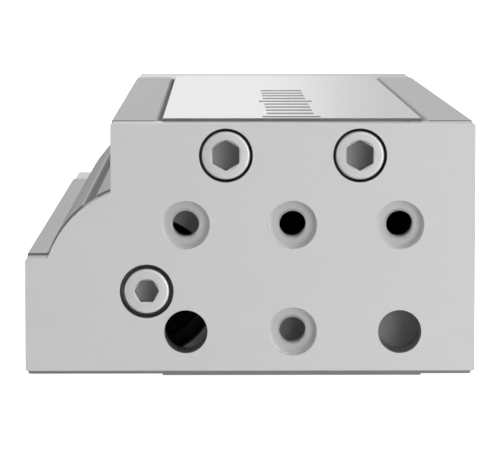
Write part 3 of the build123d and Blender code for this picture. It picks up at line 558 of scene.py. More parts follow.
def break_edges(mesh: BMesh, width: float, wanted: Callable[[BMEdge], bool] = any_edge,
                segments: int = 1) -> None:
    """Bevel the sharp edges that a test picks.

    Args:
        mesh: The mesh to work on.
        width: The bevel's width.
        wanted: Says whether an edge is bevelled.
        segments: Faces across the bevel.
    """
    inner = [edge for edge in mesh.edges if len(edge.link_faces) == 2]
    sharp = [edge for edge in inner if edge.calc_face_angle() > SHARP_ABOVE and wanted(edge)]
    bmesh.ops.bevel(mesh, geom=sharp, offset=width, offset_type="OFFSET", segments=segments,
                    profile=0.5, affect="EDGES", clamp_overlap=True, material=-1)


def joined(meshes: Iterable[BMesh]) -> BMesh:
    """Put several meshes together.

    Args:
        meshes: The meshes. All but the first are freed.

    Returns:
        The first mesh, which then holds them all.
    """
    first, *rest = meshes
    for mesh in rest:
        data = stored("joined", mesh)
        first.from_mesh(data)
        bpy.data.meshes.remove(data)
    return first


def worked(mesh: BMesh, tool: BMesh, work: Work, tool_slot: int = 1) -> BMesh:
    """Cut a mesh with a closed tool, fuse the tool to it or trim it to the tool.

    Args:
        mesh: The workpiece, which is freed.
        tool: The tool, which is freed.
        work: What the tool does.
        tool_slot: The material slot of the faces that the tool leaves.

    Returns:
        The new mesh.
    """
    for face in tool.faces:
        face.material_index = tool_slot
    holders = []
    for name, source in (("workpiece", mesh), ("tool", tool)):
        data = stored(name, source)
        for number in range(SLOT_COUNT):
            slot = f"slot_{number}"
            data.materials.append(bpy.data.materials.get(slot) or bpy.data.materials.new(slot))
        holders.append(placed(name, data))
    modifier = holders[0].modifiers.new("work", "BOOLEAN")
    modifier.operation = work.value
    modifier.solver = "EXACT"
    modifier.object = holders[1]
    bpy.context.view_layer.update()
    result = bmesh.new()
    evaluated = holders[0].evaluated_get(bpy.context.evaluated_depsgraph_get())
    result.from_mesh(evaluated.to_mesh())
    evaluated.to_mesh_clear()
    for holder in holders:
        data = holder.data
        bpy.data.objects.remove(holder)
        bpy.data.meshes.remove(data)
    bmesh.ops.dissolve_degenerate(result, dist=MERGE_WITHIN, edges=result.edges[:])
    return result


def cut(mesh: BMesh, tools: Iterable[BMesh], tool_slot: int = 1) -> BMesh:
    """Cut a mesh with tools that don't overlap each other."""
    return worked(mesh, joined(tools), Work.CUT, tool_slot)


def make_piece(name: str, mesh: BMesh, body: str, finishes: Sequence[Finish], slot: str,
               *replaced: str) -> None:
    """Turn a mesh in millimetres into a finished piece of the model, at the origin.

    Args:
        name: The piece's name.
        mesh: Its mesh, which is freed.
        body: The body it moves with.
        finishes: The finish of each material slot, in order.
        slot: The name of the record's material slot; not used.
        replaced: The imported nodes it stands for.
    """
    bmesh.ops.scale(mesh, verts=mesh.verts[:], vec=(MM, MM, MM))
    data = stored(name, mesh)
    for finish in finishes:
        data.materials.append(finish.material())
    for polygon in data.polygons:
        polygon.use_smooth = True
        polygon.material_index = min(polygon.material_index, len(finishes) - 1)
    data.set_sharp_from_angle(angle=SMOOTH_BELOW)
    piece = placed(name, data)
    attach(piece, body)
    if replaced:
        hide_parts(*replaced)
    log.info("%s rides on %s: %d faces", name, body, len(data.polygons))


def rounding(radius: float, start: float, edge: float) -> list[tuple[float, float]]:
    """Return the rounded edge between a flat face and a cylinder.

    Args:
        radius: The cylinder's radius.
        start: Where the flat face stands.
        edge: The rounding's radius.

    Returns:
        Radius and length pairs, from the face to the cylinder.
    """
    angles = [math.radians(90 * step / ROUNDING_STEPS) for step in range(ROUNDING_STEPS + 1)]
    return [(radius - edge * (1 - math.sin(angle)), start + edge * (1 - math.cos(angle)))
            for angle in angles]


def thread_profile(radius: float, start: float, end: float, pitch: float,
                   rise: float) -> list[tuple[float, float]]:
    """Return the zigzag of a thread along its axis.

    Args:
        radius: The radius at the zigzag's foot.
        start: Where the thread starts.
        end: Where it ends at the latest.
        pitch: The distance between crests.
        rise: How far each crest stands out from the foot.

    Returns:
        Radius and length pairs, from start towards end.
    """
    turns = int((end - start) / pitch)
    crest_start, crest_end = 0.42, 0.58
    points = []
    for turn in range(turns):
        foot = start + turn * pitch
        points += [(radius, foot), (radius + rise, foot + pitch * crest_start),
                   (radius + rise, foot + pitch * crest_end)]
    points.append((radius, start + turns * pitch))
    return points


def swept(mesh: BMesh, start: BMVert, centre: Point, angle: float, steps: int) -> BMVert:
    """Sweep a corner around a centre, anticlockwise from the front.

    Args:
        mesh: The mesh to draw in.
        start: The corner.
        centre: The arc's centre.
        angle: How far the corner goes round.
        steps: Lines along the arc.

    Returns:
        The arc's last corner.
    """
    made = bmesh.ops.spin(mesh, geom=[start], cent=centre, axis=(0, -1, 0), dvec=(0, 0, 0),
                          angle=angle, steps=steps)
    return vertices_in(made["geom_last"])[0]


@dataclass(frozen=True)
class Outline:
    """The stepped outline of the yoke plate, the housing and the end cap, seen from the front."""

    top: float
    bottom: float
    step: float
    radius: float
    inset: float = 0.0
    half_width: float = 34.0
    reach: float = 50.0
    arc_steps: int = 28

    def arc_angles(self) -> tuple[float, float]:
        """Find where the shoulder's arc leaves the wall and where it meets the step.

        Returns:
            The two angles about the rod's axis.
        """
        wall = -(self.half_width - self.inset) - ROD_AXIS[0]
        rise = self.step - ROD_AXIS[1]
        start = math.atan2(math.sqrt(self.radius**2 - wall**2), wall)
        return start, math.atan2(rise, -math.sqrt(self.radius**2 - rise**2))

    def on_arc(self, angle: float, y: float) -> Point:
        """Return the point of the shoulder at an angle and a station along Y."""
        x, z = ROD_AXIS
        return x + self.radius * math.cos(angle), y, z + self.radius * math.sin(angle)

    def closed(self, mesh: BMesh, first: BMVert, last: BMVert, corners: Pairs) -> BMesh:
        """Close the shoulder's arc with straight lines.

        Args:
            mesh: The mesh that holds the arc.
            first: The arc's first corner.
            last: Its last corner.
            corners: The X and Z of the corners between them.

        Returns:
            The same mesh, with the line closed.
        """
        points = chain(mesh, [(x, first.co.y, z) for x, z in corners], False)
        mesh.edges.new((last, points[0]))
        mesh.edges.new((points[-1], first))
        return mesh

    def drawn(self, y: float) -> BMesh:
        """Draw the plain outline.

        Args:
            y: The station along Y.

        Returns:
            A mesh that holds it as a closed line.
        """
        mesh = bmesh.new()
        start, end = self.arc_angles()
        first = mesh.verts.new(self.on_arc(start, y))
        centre = (ROD_AXIS[0], y, ROD_AXIS[1])
        last = swept(mesh, first, centre, end - start, self.arc_steps)
        wall = self.half_width - self.inset
        shoulder = -(self.reach - self.inset)
        corners = [(shoulder, self.step), (shoulder, self.bottom), (wall, self.bottom),
                   (wall, self.top), (-wall, self.top)]
        return self.closed(mesh, first, last, corners)


@dataclass(frozen=True)
class SocketScrew:
    """A socket cap screw: its head, its threaded shank and its key socket."""

    head: float
    head_height: float
    shank: float
    length: float
    key: float
    pitch: float
    turn: float = 0.0
    edge: float = 0.5
    steps: int = ROUND_STEPS
    bevel: float = 0.15
    # Its socket's lead-in: radii past the key's corners, and depths below the head's top
    lead_in: Pairs = ((-0.5, 0.55), (-0.02, 0.05), (0.05, 0.0))
    thread_share: float = 0.54
    plain_share: float = 0.3
    run_out: float = 0.6
    socket_share: float = 0.5
    tip_share: float = 0.1

    def made(self, seat: Point, axis: Axis) -> BMesh:
        """Make the screw.

        Args:
            seat: The middle of the face that its head rests on.
            axis: The way its shank points.

        Returns:
            The screw as a closed mesh.
        """
        head, shank, top = self.head / 2, self.shank / 2, -self.head_height
        lead = self.key / ROOT_3
        rise = self.thread_share * self.pitch
        profile = [(lead + past, top + depth) for past, depth in self.lead_in]
        profile += rounding(head, top, self.edge) + [(head, -self.bevel), (head - self.bevel, 0.0)]
        profile += [(shank + self.bevel, 0.0), (shank, self.bevel)]
        if self.pitch > 0:
            profile += thread_profile(shank - rise, self.length * self.plain_share,
                                      self.length - self.run_out, self.pitch, rise)
        mesh = turned(seat, axis, profile + [(shank - rise, self.length)], self.steps)
        above = tuple(Vector(seat) + Vector(axis.value) * (top - PUNCH_CLEAR))
        depth = self.head_height * self.socket_share + PUNCH_CLEAR
        tip = self.key * self.tip_share
        # The socket's walls take the second finish, whose darker grey is painted shade
        return cut(mesh, [punch(above, axis, self.key, depth, tip, self.turn)])


def small_screw(head: float, shank: float, length: float, key: float, pitch: float = 0.0,
                edge: float = 0.3) -> SocketScrew:
    """Return a small screw, whose head is as high as its shank is thick."""
    return SocketScrew(head, shank, shank, length, key, pitch, edge=edge, steps=SMALL_STEPS)


@dataclass
class YokePlate:
    """The plate that carries the load: its outline, its holes and its recesses."""

    outline: Outline = Outline(48.3, 1.9, 23.0, 19.5)
    front: float = YOKE_FRONT
    thickness: float = YOKE_BACK - YOKE_FRONT
    edge: float = 0.1
    corner: float = 0.5
    arc_side: float = -30.0
    arc_low: float = 23.5
    arc_high: float = 47.0
    mouth: float = 0.07
    sleeve_radius: float = 4.5
    sleeve_depth: float = 2.0
    minor_radius: float = 2.5
    thread_lead: float = 0.45
    thread_start: float = 0.5
    thread_run_out: float = 0.4
    thread_pitch: float = 1.0
    thread_rise: float = 0.42
    pin_radius: float = 4.0
    head_radius: float = 5.0
    tapped: Pairs = ((-20.0, 29.3), (0.0, 29.3), (20.0, 29.3), (0.0, 9.3))
    plain: Pairs = ((-20.0, 9.3), (20.0, 9.3))
    # The X and Z of each screw, the depth of its head's recess and its passage's radius
    heads: tuple[tuple[float, float, float, float], ...] = (
        (-SLIDE_SCREW_X, SLIDE_SCREW_Z, 6.2, 3.2),
        (SLIDE_SCREW_X, SLIDE_SCREW_Z, 6.2, 3.2),
        (*ROD_AXIS, 5.2, 2.7),
    )

    def build(self) -> None:
        """Build the plate."""
        bored_shade_slot, satin_slot = 2, 3
        mesh = extruded(self.outline.drawn(self.front), self.thickness)
        break_edges(mesh, self.corner, self.corner_wanted, segments=4)
        break_edges(mesh, self.edge, runs_across)
        for face in mesh.faces:
            if abs(face.normal.y) < 1 - END_FACE:
                face.material_index = satin_slot
        mesh = cut(mesh, [self.tapped_hole(x, z) for x, z in self.tapped])
        end = self.thickness + OVERRUN
        drilled = [self.hole(x, z, [(self.pin_radius, end)]) for x, z in self.plain]
        for x, z, depth, passage in self.heads:
            drilled.append(self.hole(x, z, [(self.head_radius, depth), (passage, end)]))
        # The plain holes and the head recesses take the darker grey of painted shade on their walls
        mesh = cut(mesh, drilled, bored_shade_slot)
        finishes = [BRUSHED_ALUMINIUM, MACHINED_ALUMINIUM, BORED_ALUMINIUM_PAINTED_SHADE, SATIN_ALUMINIUM]
        make_piece("yoke_plate_milled", mesh, "slide", finishes, "anodised_aluminium", "yoke_plate")

    def corner_wanted(self, edge: BMEdge) -> bool:
        """Pick the outline's own corners, which run through the plate, but not those of its arc."""
        x, _, z = edge.verts[0].co
        return runs_along(edge) and not (x < self.arc_side and self.arc_low < z < self.arc_high)

    def tapped_hole(self, x: float, z: float) -> BMesh:
        """Make the tool for a threaded hole under a sleeve recess.

        Args:
            x: The hole's place along X.
            z: Its height.

        Returns:
            The tool as a closed mesh.
        """
        minor, depth, lead = self.minor_radius, self.sleeve_depth, self.thread_lead
        profile = staged(hole_start(self.sleeve_radius, self.mouth), [(self.sleeve_radius, depth)])
        profile += [(minor + lead, depth), (minor, depth + lead)]
        start, end = depth + self.thread_start, self.thickness - self.thread_run_out
        profile += thread_profile(minor, start, end, self.thread_pitch, self.thread_rise)
        profile.append((minor, self.thickness + OVERRUN))
        return turned((x, self.front, z), Axis.REAR, profile)

    def hole(self, x: float, z: float, stages: Pairs) -> BMesh:
        """Return the tool for a hole without a thread."""
        return drill((x, self.front, z), Axis.REAR, stages, self.mouth, ROUND_STEPS)


@dataclass
class YokeScrews:
    """The screws in the yoke plate."""

    slide_screw: SocketScrew = SocketScrew(9.1, 6.0, 6.0, 14.8, 5.0, 1.0, 90.0)
    rod_screw: SocketScrew = SocketScrew(8.5, 5.0, 5.0, 13.8, 4.0, 0.8, 0.0)
    cover: float = 0.2

    def build(self) -> None:
        """Build the two slide screws and the rod screw."""
        screw = self.slide_screw
        pair = [self.seated(screw, side * SLIDE_SCREW_X, SLIDE_SCREW_Z) for side in (-1, 1)]
        make_piece("yoke_cap_screws", joined(pair), "slide", SCREW_FINISHES, "screw_steel",
                   "yoke_screws")
        screw = self.seated(self.rod_screw, *ROD_AXIS)
        make_piece("rod_cap_screw", screw, "slide", SCREW_FINISHES, "screw_steel", "rod_screw")

    def seated(self, screw: SocketScrew, x: float, z: float) -> BMesh:
        """Return a screw with its head just below the plate's face."""
        return screw.made((x, YOKE_FRONT + screw.head_height + self.cover, z), Axis.REAR)


@dataclass
class Housing:
    """The body: a shouldered block with the channel, the groove, the pocket and the bores."""

    outline: Outline = Outline(48.5, 0.3, 23.4, 19.9)
    front: float = BODY_FRONT
    rear: float = BODY_REAR
    pad: float = 24.5
    channel: float = 25.5
    channel_floor: float = 34.0
    pocket_left: float = -6.0
    pocket_right: float = 24.0
    pocket_floor: float = 18.0
    pocket_end: float = 91.0
    pocket_corner: float = 2.5
    groove_angle: float = 123.7
    groove_mouth: float = 2.9
    groove_round: float = 4.2
    groove_depth: float = 4.5
    groove_steps: int = 30
    edge: float = 0.25
    channel_edge: float = 0.45
    end_edge: float = 0.06
    # The cylinder: its mouth's bevel and the recess, then each stage as a radius and its end
    recess_bevel: float = 0.3
    recess: tuple[float, float] = (13.0, 10.0)
    seat_bevel: float = 0.2
    stages: Pairs = ((11.0, 11.8), (11.6, 13.0), (11.0, 32.0), (6.0, 61.0))
    bore_radius: float = 10.0
    bore_bevel: float = 0.4
    access_radius: float = 2.5
    access_depth: float = 3.0
    base_threads: Pairs = ((-15.0, -60.0), (-15.0, 60.0), (15.0, -60.0), (15.0, 60.0))
    base_thread_radius: float = 2.5
    base_thread_mouth: float = 0.6
    base_thread_start: float = 0.7
    base_thread_depth: float = 11.0
    base_thread_pitch: float = 1.0
    base_thread_rise: float = 0.42
    base_drill_tip: float = 12.5
    centring_stations: tuple[float, ...] = (-40.0, 40.0)
    centring: tuple[float, float] = (4.5, 2.1)
    holder_stations: tuple[float, ...] = (-78.8, -71.8, 71.8, 78.8)
    holder_recess: float = 8.0
    rail_recess: float = 3.3
    cap_thread_depth: float = 14.0
    port_stations: tuple[float, ...] = (-29.0, 90.0)
    port_height: float = 12.0
    port_radius: float = 2.1
    port_mouth: float = 0.5
    port_thread_start: float = 0.6
    port_depth: float = 6.0
    port_thread_pitch: float = 0.8
    port_thread_rise: float = 0.33
    port_bevel: float = 0.4
    passage_radius: float = 1.5

    def build(self) -> None:
        """Build the housing."""
        sawn_shade_slot, bore_slot, rough_lit_slot = 2, 3, 4
        mesh = extruded(self.drawn(), self.rear - self.front)
        break_edges(mesh, self.channel_edge, self.at_channel, segments=3)
        break_edges(mesh, self.edge, self.long_edge)
        break_edges(mesh, self.end_edge, self.end_face_edge)
        # End faces take a darker grey that is painted shade; the channel takes a lighter grey that
        # is painted light
        for face in mesh.faces:
            x, _, z = face.calc_center_median()
            if abs(face.normal.y) > END_FACE:
                face.material_index = sawn_shade_slot
            elif abs(x) < self.channel + TOUCHING and z > self.channel_floor - TOUCHING:
                face.material_index = rough_lit_slot
        mesh = cut(mesh, [self.pocket()])
        mesh = cut(mesh, self.holes())
        mesh = cut(mesh, [self.cylinder()], bore_slot)
        mesh = cut(mesh, [self.air_port(y) for y in self.port_stations])
        finishes = [BLASTED_ALUMINIUM, MACHINED_ALUMINIUM, SAWN_ALUMINIUM_PAINTED_SHADE, HARD_ANODISED,
                    ROUGH_MILLED_ALUMINIUM_PAINTED_LIGHT]
        make_piece("housing_milled", mesh, "housing", finishes, "anodised_aluminium", "housing")

    def drawn(self) -> BMesh:
        """Draw the cross-section with the channel, the pad and the sensor groove.

        Returns:
            A mesh that holds it as a closed line at the front.
        """
        mesh = bmesh.new()
        outline = self.outline
        centre = (ROD_AXIS[0], self.front, ROD_AXIS[1])
        start, end = outline.arc_angles()
        middle = math.radians(self.groove_angle)
        mouth = math.asin(self.groove_mouth / 2 / outline.radius)
        first = mesh.verts.new(outline.on_arc(start, self.front))
        share = (middle - mouth - start) / (end - start)
        steps = round(outline.arc_steps * share)
        last = swept(mesh, first, centre, middle - mouth - start, steps)
        # The groove: in through its mouth, round its bottom and out again
        out = Vector((math.cos(middle), 0.0, math.sin(middle)))
        side = Vector((-math.sin(middle), 0.0, math.cos(middle)))
        radius = self.groove_round / 2
        eye = Vector(centre) + out * (outline.radius - self.groove_depth + radius)
        opening = math.asin(self.groove_mouth / 2 / radius)
        neck = out * radius * math.cos(opening)
        entry = mesh.verts.new(eye + neck - side * self.groove_mouth / 2)
        mesh.edges.new((last, entry))
        round_bottom = -(math.tau - 2 * opening)
        leaving = swept(mesh, entry, tuple(eye), round_bottom, self.groove_steps)
        again = mesh.verts.new(outline.on_arc(middle + mouth, self.front))
        mesh.edges.new((leaving, again))
        steps = round(outline.arc_steps * (1 - share))
        last = swept(mesh, again, centre, end - middle - mouth, steps)
        left, wall, pad, channel = -outline.reach, outline.half_width, self.pad, self.channel
        top, bottom, floor = outline.top, outline.bottom, self.channel_floor
        corners = [(left, outline.step), (left, bottom), (-pad, bottom), (-pad, 0.0), (pad, 0.0),
                   (pad, bottom), (wall, bottom), (wall, top), (channel, top), (channel, floor),
                   (-channel, floor), (-channel, top), (-wall, top)]
        return outline.closed(mesh, first, last, corners)

    def at_channel(self, edge: BMEdge) -> bool:
        """Pick the channel's two upper edges.

        Args:
            edge: The edge.

        Returns:
            Whether it is one of them.
        """
        x, y, z = (edge.verts[0].co + edge.verts[1].co) / 2
        at_wall = abs(abs(x) - self.channel) < HAIR
        return at_wall and abs(y) < self.rear - 1 and z > self.outline.top - HAIR

    def long_edge(self, edge: BMEdge) -> bool:
        """Pick the other edges along the travel, but not the pad's and the channel floor's.

        Args:
            edge: The edge.

        Returns:
            Whether it is one of them.
        """
        x, _, z = edge.verts[0].co
        at_pad = z < self.outline.bottom + TOUCHING and abs(x) < self.pad + 1
        return runs_along(edge) and not at_pad and abs(z - self.channel_floor) > TOUCHING

    def end_face_edge(self, edge: BMEdge) -> bool:
        """Pick the edges of the front and the rear face, but not the pad's."""
        lowest = min(vert.co.z for vert in edge.verts)
        return runs_across(edge) and lowest > self.outline.bottom + TOUCHING

    def pocket(self) -> BMesh:
        """Make the tool for the stop pocket, with milled corners at its closed end.

        Returns:
            The tool as a closed mesh.
        """
        low = (self.pocket_left, self.front - OVERRUN, self.pocket_floor)
        mesh = block(low, (self.pocket_right, self.pocket_end, self.channel_floor + OVERRUN))
        break_edges(mesh, self.pocket_corner, self.pocket_corner_wanted, segments=6)
        return mesh

    def pocket_corner_wanted(self, edge: BMEdge) -> bool:
        """Pick the upright corners at the pocket's closed end."""
        first, second = (vert.co for vert in edge.verts)
        return abs(first.z - second.z) > 1 and first.y > 0

    def cylinder(self) -> BMesh:
        """Make the tool for the recess, the bearing seat, the rod passage and the cylinder bore.

        Returns:
            The tool as a closed mesh.
        """
        length = self.rear - self.front
        radius, depth = self.recess
        seat, bore = self.stages[0][0], self.bore_radius
        profile = hole_start(radius, self.recess_bevel) + [(radius, depth)]
        profile += [(seat + self.seat_bevel, depth), (seat, depth + self.seat_bevel)]
        profile = staged(profile, [*self.stages, (bore, length - self.bore_bevel)])
        mouth = bore + self.bore_bevel
        profile += [(mouth, length), (mouth, length + OVERRUN)]
        return turned((ROD_AXIS[0], self.front, ROD_AXIS[1]), Axis.REAR, profile)

    def holes(self) -> list[BMesh]:
        """Make the tools for the screws' holes, the base's threads and the centring recesses.

        Returns:
            One tool for each hole.
        """
        stop_x, stop_z = STOP_AXIS
        access = [(self.access_radius, -OVERRUN), (self.access_radius, self.access_depth + OVERRUN)]
        tools = [turned((stop_x, self.rear, stop_z), Axis.FRONT, access, SMALL_STEPS)]
        radius, depth = self.base_thread_radius, self.base_thread_depth
        thread = hole_start(radius, self.base_thread_mouth)
        thread += thread_profile(radius, self.base_thread_start, depth, self.base_thread_pitch,
                                 self.base_thread_rise)
        thread += [(radius, depth), (0.0, self.base_drill_tip)]
        tools += [turned((x, y, 0.0), Axis.UP, thread, SMALL_STEPS) for x, y in self.base_threads]
        tools += [drill((0.0, y, 0.0), Axis.UP, [self.centring]) for y in self.centring_stations]
        holder = [(SMALL_RECESS, self.holder_recess), (SMALL_PASSAGE, self.pocket_floor + OVERRUN)]
        tools += [drill((stop_x, y, 0.0), Axis.UP, holder) for y in self.holder_stations]
        wall = self.outline.half_width
        rail = [(SMALL_RECESS, self.rail_recess), (SMALL_PASSAGE, wall - self.channel + OVERRUN)]
        for y in RAIL_SCREW_STATIONS:
            tools.append(drill((wall, y, GUIDE_HEIGHT), Axis.LEFT, rail))
            tools.append(drill((-wall, y, GUIDE_HEIGHT), Axis.RIGHT, rail))
        blind = [(MEDIUM_PASSAGE, -OVERRUN), (MEDIUM_PASSAGE, self.cap_thread_depth)]
        for x, z in CAP_SCREW_CENTRES:
            tools.append(turned((x, self.rear, z), Axis.FRONT, blind, SMALL_STEPS))
        return tools

    def air_port(self, y: float) -> BMesh:
        """Make the tool for a threaded air port and the hole behind it.

        Args:
            y: The port's station.

        Returns:
            The tool as a closed mesh.
        """
        reach, radius, depth = self.outline.reach, self.port_radius, self.port_depth
        profile = hole_start(radius, self.port_mouth)
        profile += thread_profile(radius, self.port_thread_start, depth, self.port_thread_pitch,
                                  self.port_thread_rise)
        profile += [(radius, depth), (self.passage_radius, depth + self.port_bevel)]
        profile.append((self.passage_radius, reach + ROD_AXIS[0]))
        return turned((-reach, y, self.port_height), Axis.RIGHT, profile, SMALL_STEPS)


@dataclass(frozen=True)
class Plug:
    """A threaded plug in the end cap, with its key socket, and its hole."""

    centre: tuple[float, float]
    hole_radius: float
    passage: float
    radius: float
    length: float
    hole_length: float = 6.0
    mouth: float = 0.3
    # The bevel at its outer face, as steps in from its radius and lengths
    bevel: Pairs = ((0.4, 0.0), (0.05, 0.35))
    thread_start: float = 0.6
    thread_run_out: float = 0.4
    thread_pitch: float = 0.7
    thread_rise: float = 0.3
    end_step: float = 0.5
    key: float = 2.5
    key_depth: float = 3.2

    def hole(self, face: float, depth: float) -> BMesh:
        """Make the tool for the plug's hole and the passage behind it.

        Args:
            face: The station of the cap's rear face.
            depth: How deep the passage goes.

        Returns:
            The tool as a closed mesh.
        """
        x, z = self.centre
        profile = hole_start(self.hole_radius, self.mouth) + [(self.hole_radius, self.hole_length)]
        profile += [(self.passage, self.hole_length + HAIR), (self.passage, depth)]
        return turned((x, face, z), Axis.FRONT, profile, SMALL_STEPS)

    def made(self, start: float) -> BMesh:
        """Make the plug.

        Args:
            start: The station of its outer face.

        Returns:
            The plug as a closed mesh.
        """
        x, z = self.centre
        radius, rise, end = self.radius, self.thread_rise, self.length - self.thread_run_out
        profile = [(radius - step, length) for step, length in self.bevel]
        profile += thread_profile(radius - rise, self.thread_start, end, self.thread_pitch, rise)
        profile.append((radius - self.end_step, self.length))
        mesh = turned((x, start, z), Axis.FRONT, profile, SMALL_STEPS)
        above = (x, start + PUNCH_CLEAR, z)
        # The socket's walls take the second finish, whose darker grey is painted shade
        return cut(mesh, [punch(above, Axis.FRONT, self.key, self.key_depth, SOCKET_TIP)])


@dataclass
class EndCap:
    """The cover behind the housing, with its screws and plugs."""

    outline: Outline = Outline(48.3, 0.65, 23.05, 19.55, 0.35)
    front: float = BODY_REAR
    rear: float = 122.0
    front_edge: float = 0.25
    rear_edge: float = 0.6
    recess: float = 11.0
    recess_radius: float = 3.625
    recess_mouth: float = 0.3
    plug_cover: float = 0.3
    screw: SocketScrew = small_screw(7.0, 4.0, 26.0, 3.0, 0.7, 0.5)
    air_plug: Plug = Plug(ROD_AXIS, 2.1, 1.5, 2.05, 5.4)
    access_plug: Plug = Plug(STOP_AXIS, 2.5, 2.5, 2.45, 6.0)

    def build(self) -> None:
        """Build the cap, its plugs and its screws."""
        mesh = extruded(self.outline.drawn(self.front), self.rear - self.front)
        break_edges(mesh, self.rear_edge, self.at_rear, 2)
        break_edges(mesh, self.front_edge, self.at_front)
        depth = self.rear - self.front + OVERRUN
        plugs = (self.air_plug, self.access_plug)
        stages = [(self.recess_radius, self.recess), (MEDIUM_PASSAGE, depth)]
        tools = [drill((x, self.rear, z), Axis.FRONT, stages, self.recess_mouth)
                 for x, z in CAP_SCREW_CENTRES]
        mesh = cut(mesh, tools + [plug.hole(self.rear, depth) for plug in plugs])
        make_piece("end_cap_milled", mesh, "housing", MILLED_FINISHES, "anodised_aluminium",
                   "end_cap")
        made = joined([plug.made(self.rear - self.plug_cover) for plug in plugs])
        make_piece("end_cap_set_screws", made, "housing", SCREW_FINISHES, "screw_steel",
                   "end_cap_plugs")
        seat = self.rear - self.recess
        screws = joined([self.screw.made((x, seat, z), Axis.FRONT) for x, z in CAP_SCREW_CENTRES])
        make_piece("end_cap_cap_screws", screws, "housing", SCREW_FINISHES, "screw_steel",
                   "end_cap_screws")

    def at_rear(self, edge: BMEdge) -> bool:
        """Pick the edges of the rear face."""
        return min(vert.co.y for vert in edge.verts) > self.rear - TOUCHING

    def at_front(self, edge: BMEdge) -> bool:
        """Pick the edges of the front face."""
        return max(vert.co.y for vert in edge.verts) < self.front + TOUCHING


@dataclass
class SlideTable:
    """The moving slide: its flat top with the travel scale, its rib and its solid front end."""

    front: float = YOKE_BACK
    rear: float = 93.7
    top: float = 48.85
    half_width: float = 24.5
    flange: float = 4.65
    rib: float = 12.0
    rib_bottom: float = 34.6
    block_half_width: float = 19.6
    block_rear: float = -44.0
    edge: float = 0.25
    end_edge: float = 0.05
    marks: int = 10
    mark_pitch: float = 11.7
    mark_start: float = 4.5
    mark_width: float = 5.0
    mark_depth: float = 0.12
    mark_length: float = 9.0
    fifth_mark_length: float = 11.0
    ink_gap: float = 0.02
    ink_height: float = 0.03
    # The X, Z, depth and radius of each hole in the front end
    screw_holes: tuple[tuple[float, float, float, float], ...] = (
        (-SLIDE_SCREW_X, SLIDE_SCREW_Z, 14.0, LARGE_PASSAGE),
        (SLIDE_SCREW_X, SLIDE_SCREW_Z, 14.0, LARGE_PASSAGE),
        (-4.5, 38.0, 6.0, SMALL_PASSAGE),
        (4.5, 38.0, 6.0, SMALL_PASSAGE),
    )

    def mark_boxes(self, top: float, bottom: float, shrink: float) -> list[BMesh]:
        """Make one block for each mark of the scale.

        Args:
            top: The blocks' upper height.
            bottom: Their lower height.
            shrink: How far each side stands back from the mark's own.

        Returns:
            The blocks, from the front.
        """
        boxes = []
        for index in range(self.marks):
            length = self.fifth_mark_length if index % 5 == 0 else self.mark_length
            y = self.front + self.mark_start + index * self.mark_pitch
            across, along = length / 2 - shrink, self.mark_width / 2 - shrink
            boxes.append(block((-across, y - along, bottom), (across, y + along, top)))
        return boxes

    def build(self) -> None:
        """Build the slide and the marking in its scale."""
        end_shade_slot = 1
        under, bottom = self.top - self.flange, self.rib_bottom
        half, rib = self.half_width, self.rib
        corners = [(half, self.top), (-half, self.top), (-half, under), (-rib, under),
                   (-rib, bottom), (rib, bottom), (rib, under), (half, under)]
        mesh = bmesh.new()
        chain(mesh, [(x, self.front, z) for x, z in corners], True)
        mesh = extruded(mesh, self.rear - self.front)
        low = (-self.block_half_width, self.front, bottom)
        solid = block(low, (self.block_half_width, self.block_rear, under + 1))
        mesh = worked(mesh, solid, Work.FUSE, 0)
        break_edges(mesh, self.edge, runs_along, 2)
        break_edges(mesh, self.end_edge)
        # The end faces take the darker grey of painted shade
        for face in mesh.faces:
            if abs(face.normal.y) > END_FACE:
                face.material_index = end_shade_slot
        floor = self.top - self.mark_depth
        mesh = cut(mesh, self.mark_boxes(self.top + 1, floor, 0.0))
        holes = []
        for x, z, depth, radius in self.screw_holes:
            profile = [(radius, -OVERRUN), (radius, depth)]
            holes.append(turned((x, self.front, z), Axis.REAR, profile, SMALL_STEPS))
        mesh = cut(mesh, holes)
        finishes = [GROUND_STEEL, END_STEEL_PAINTED_SHADE]
        make_piece("slide_ground", mesh, "slide", finishes, "ground_steel", "slide")
        ink = joined(self.mark_boxes(floor + self.ink_height, floor, self.ink_gap))
        make_piece("slide_scale_marking", ink, "slide", [ETCHED_STEEL], "ground_steel")


@dataclass
class SideScrews:
    """The screws that hold the outer rails, from both sides of the housing."""

    screw: SocketScrew = small_screw(5.5, 3.0, 7.9, 2.5)
    seat: float = 30.7

    def build(self) -> None:
        """Build one row of screws for each side."""
        for side, name, axis in ((-1, "left", Axis.RIGHT), (1, "right", Axis.LEFT)):
            screw = self.screw.made((side * self.seat, 0.0, GUIDE_HEIGHT), axis)
            make_piece(f"{name}_side_cap_screws", repeated(screw, RAIL_SCREW_STATIONS), "housing",
                       SCREW_FINISHES, "screw_steel", f"outer_rail_screws_{name}")


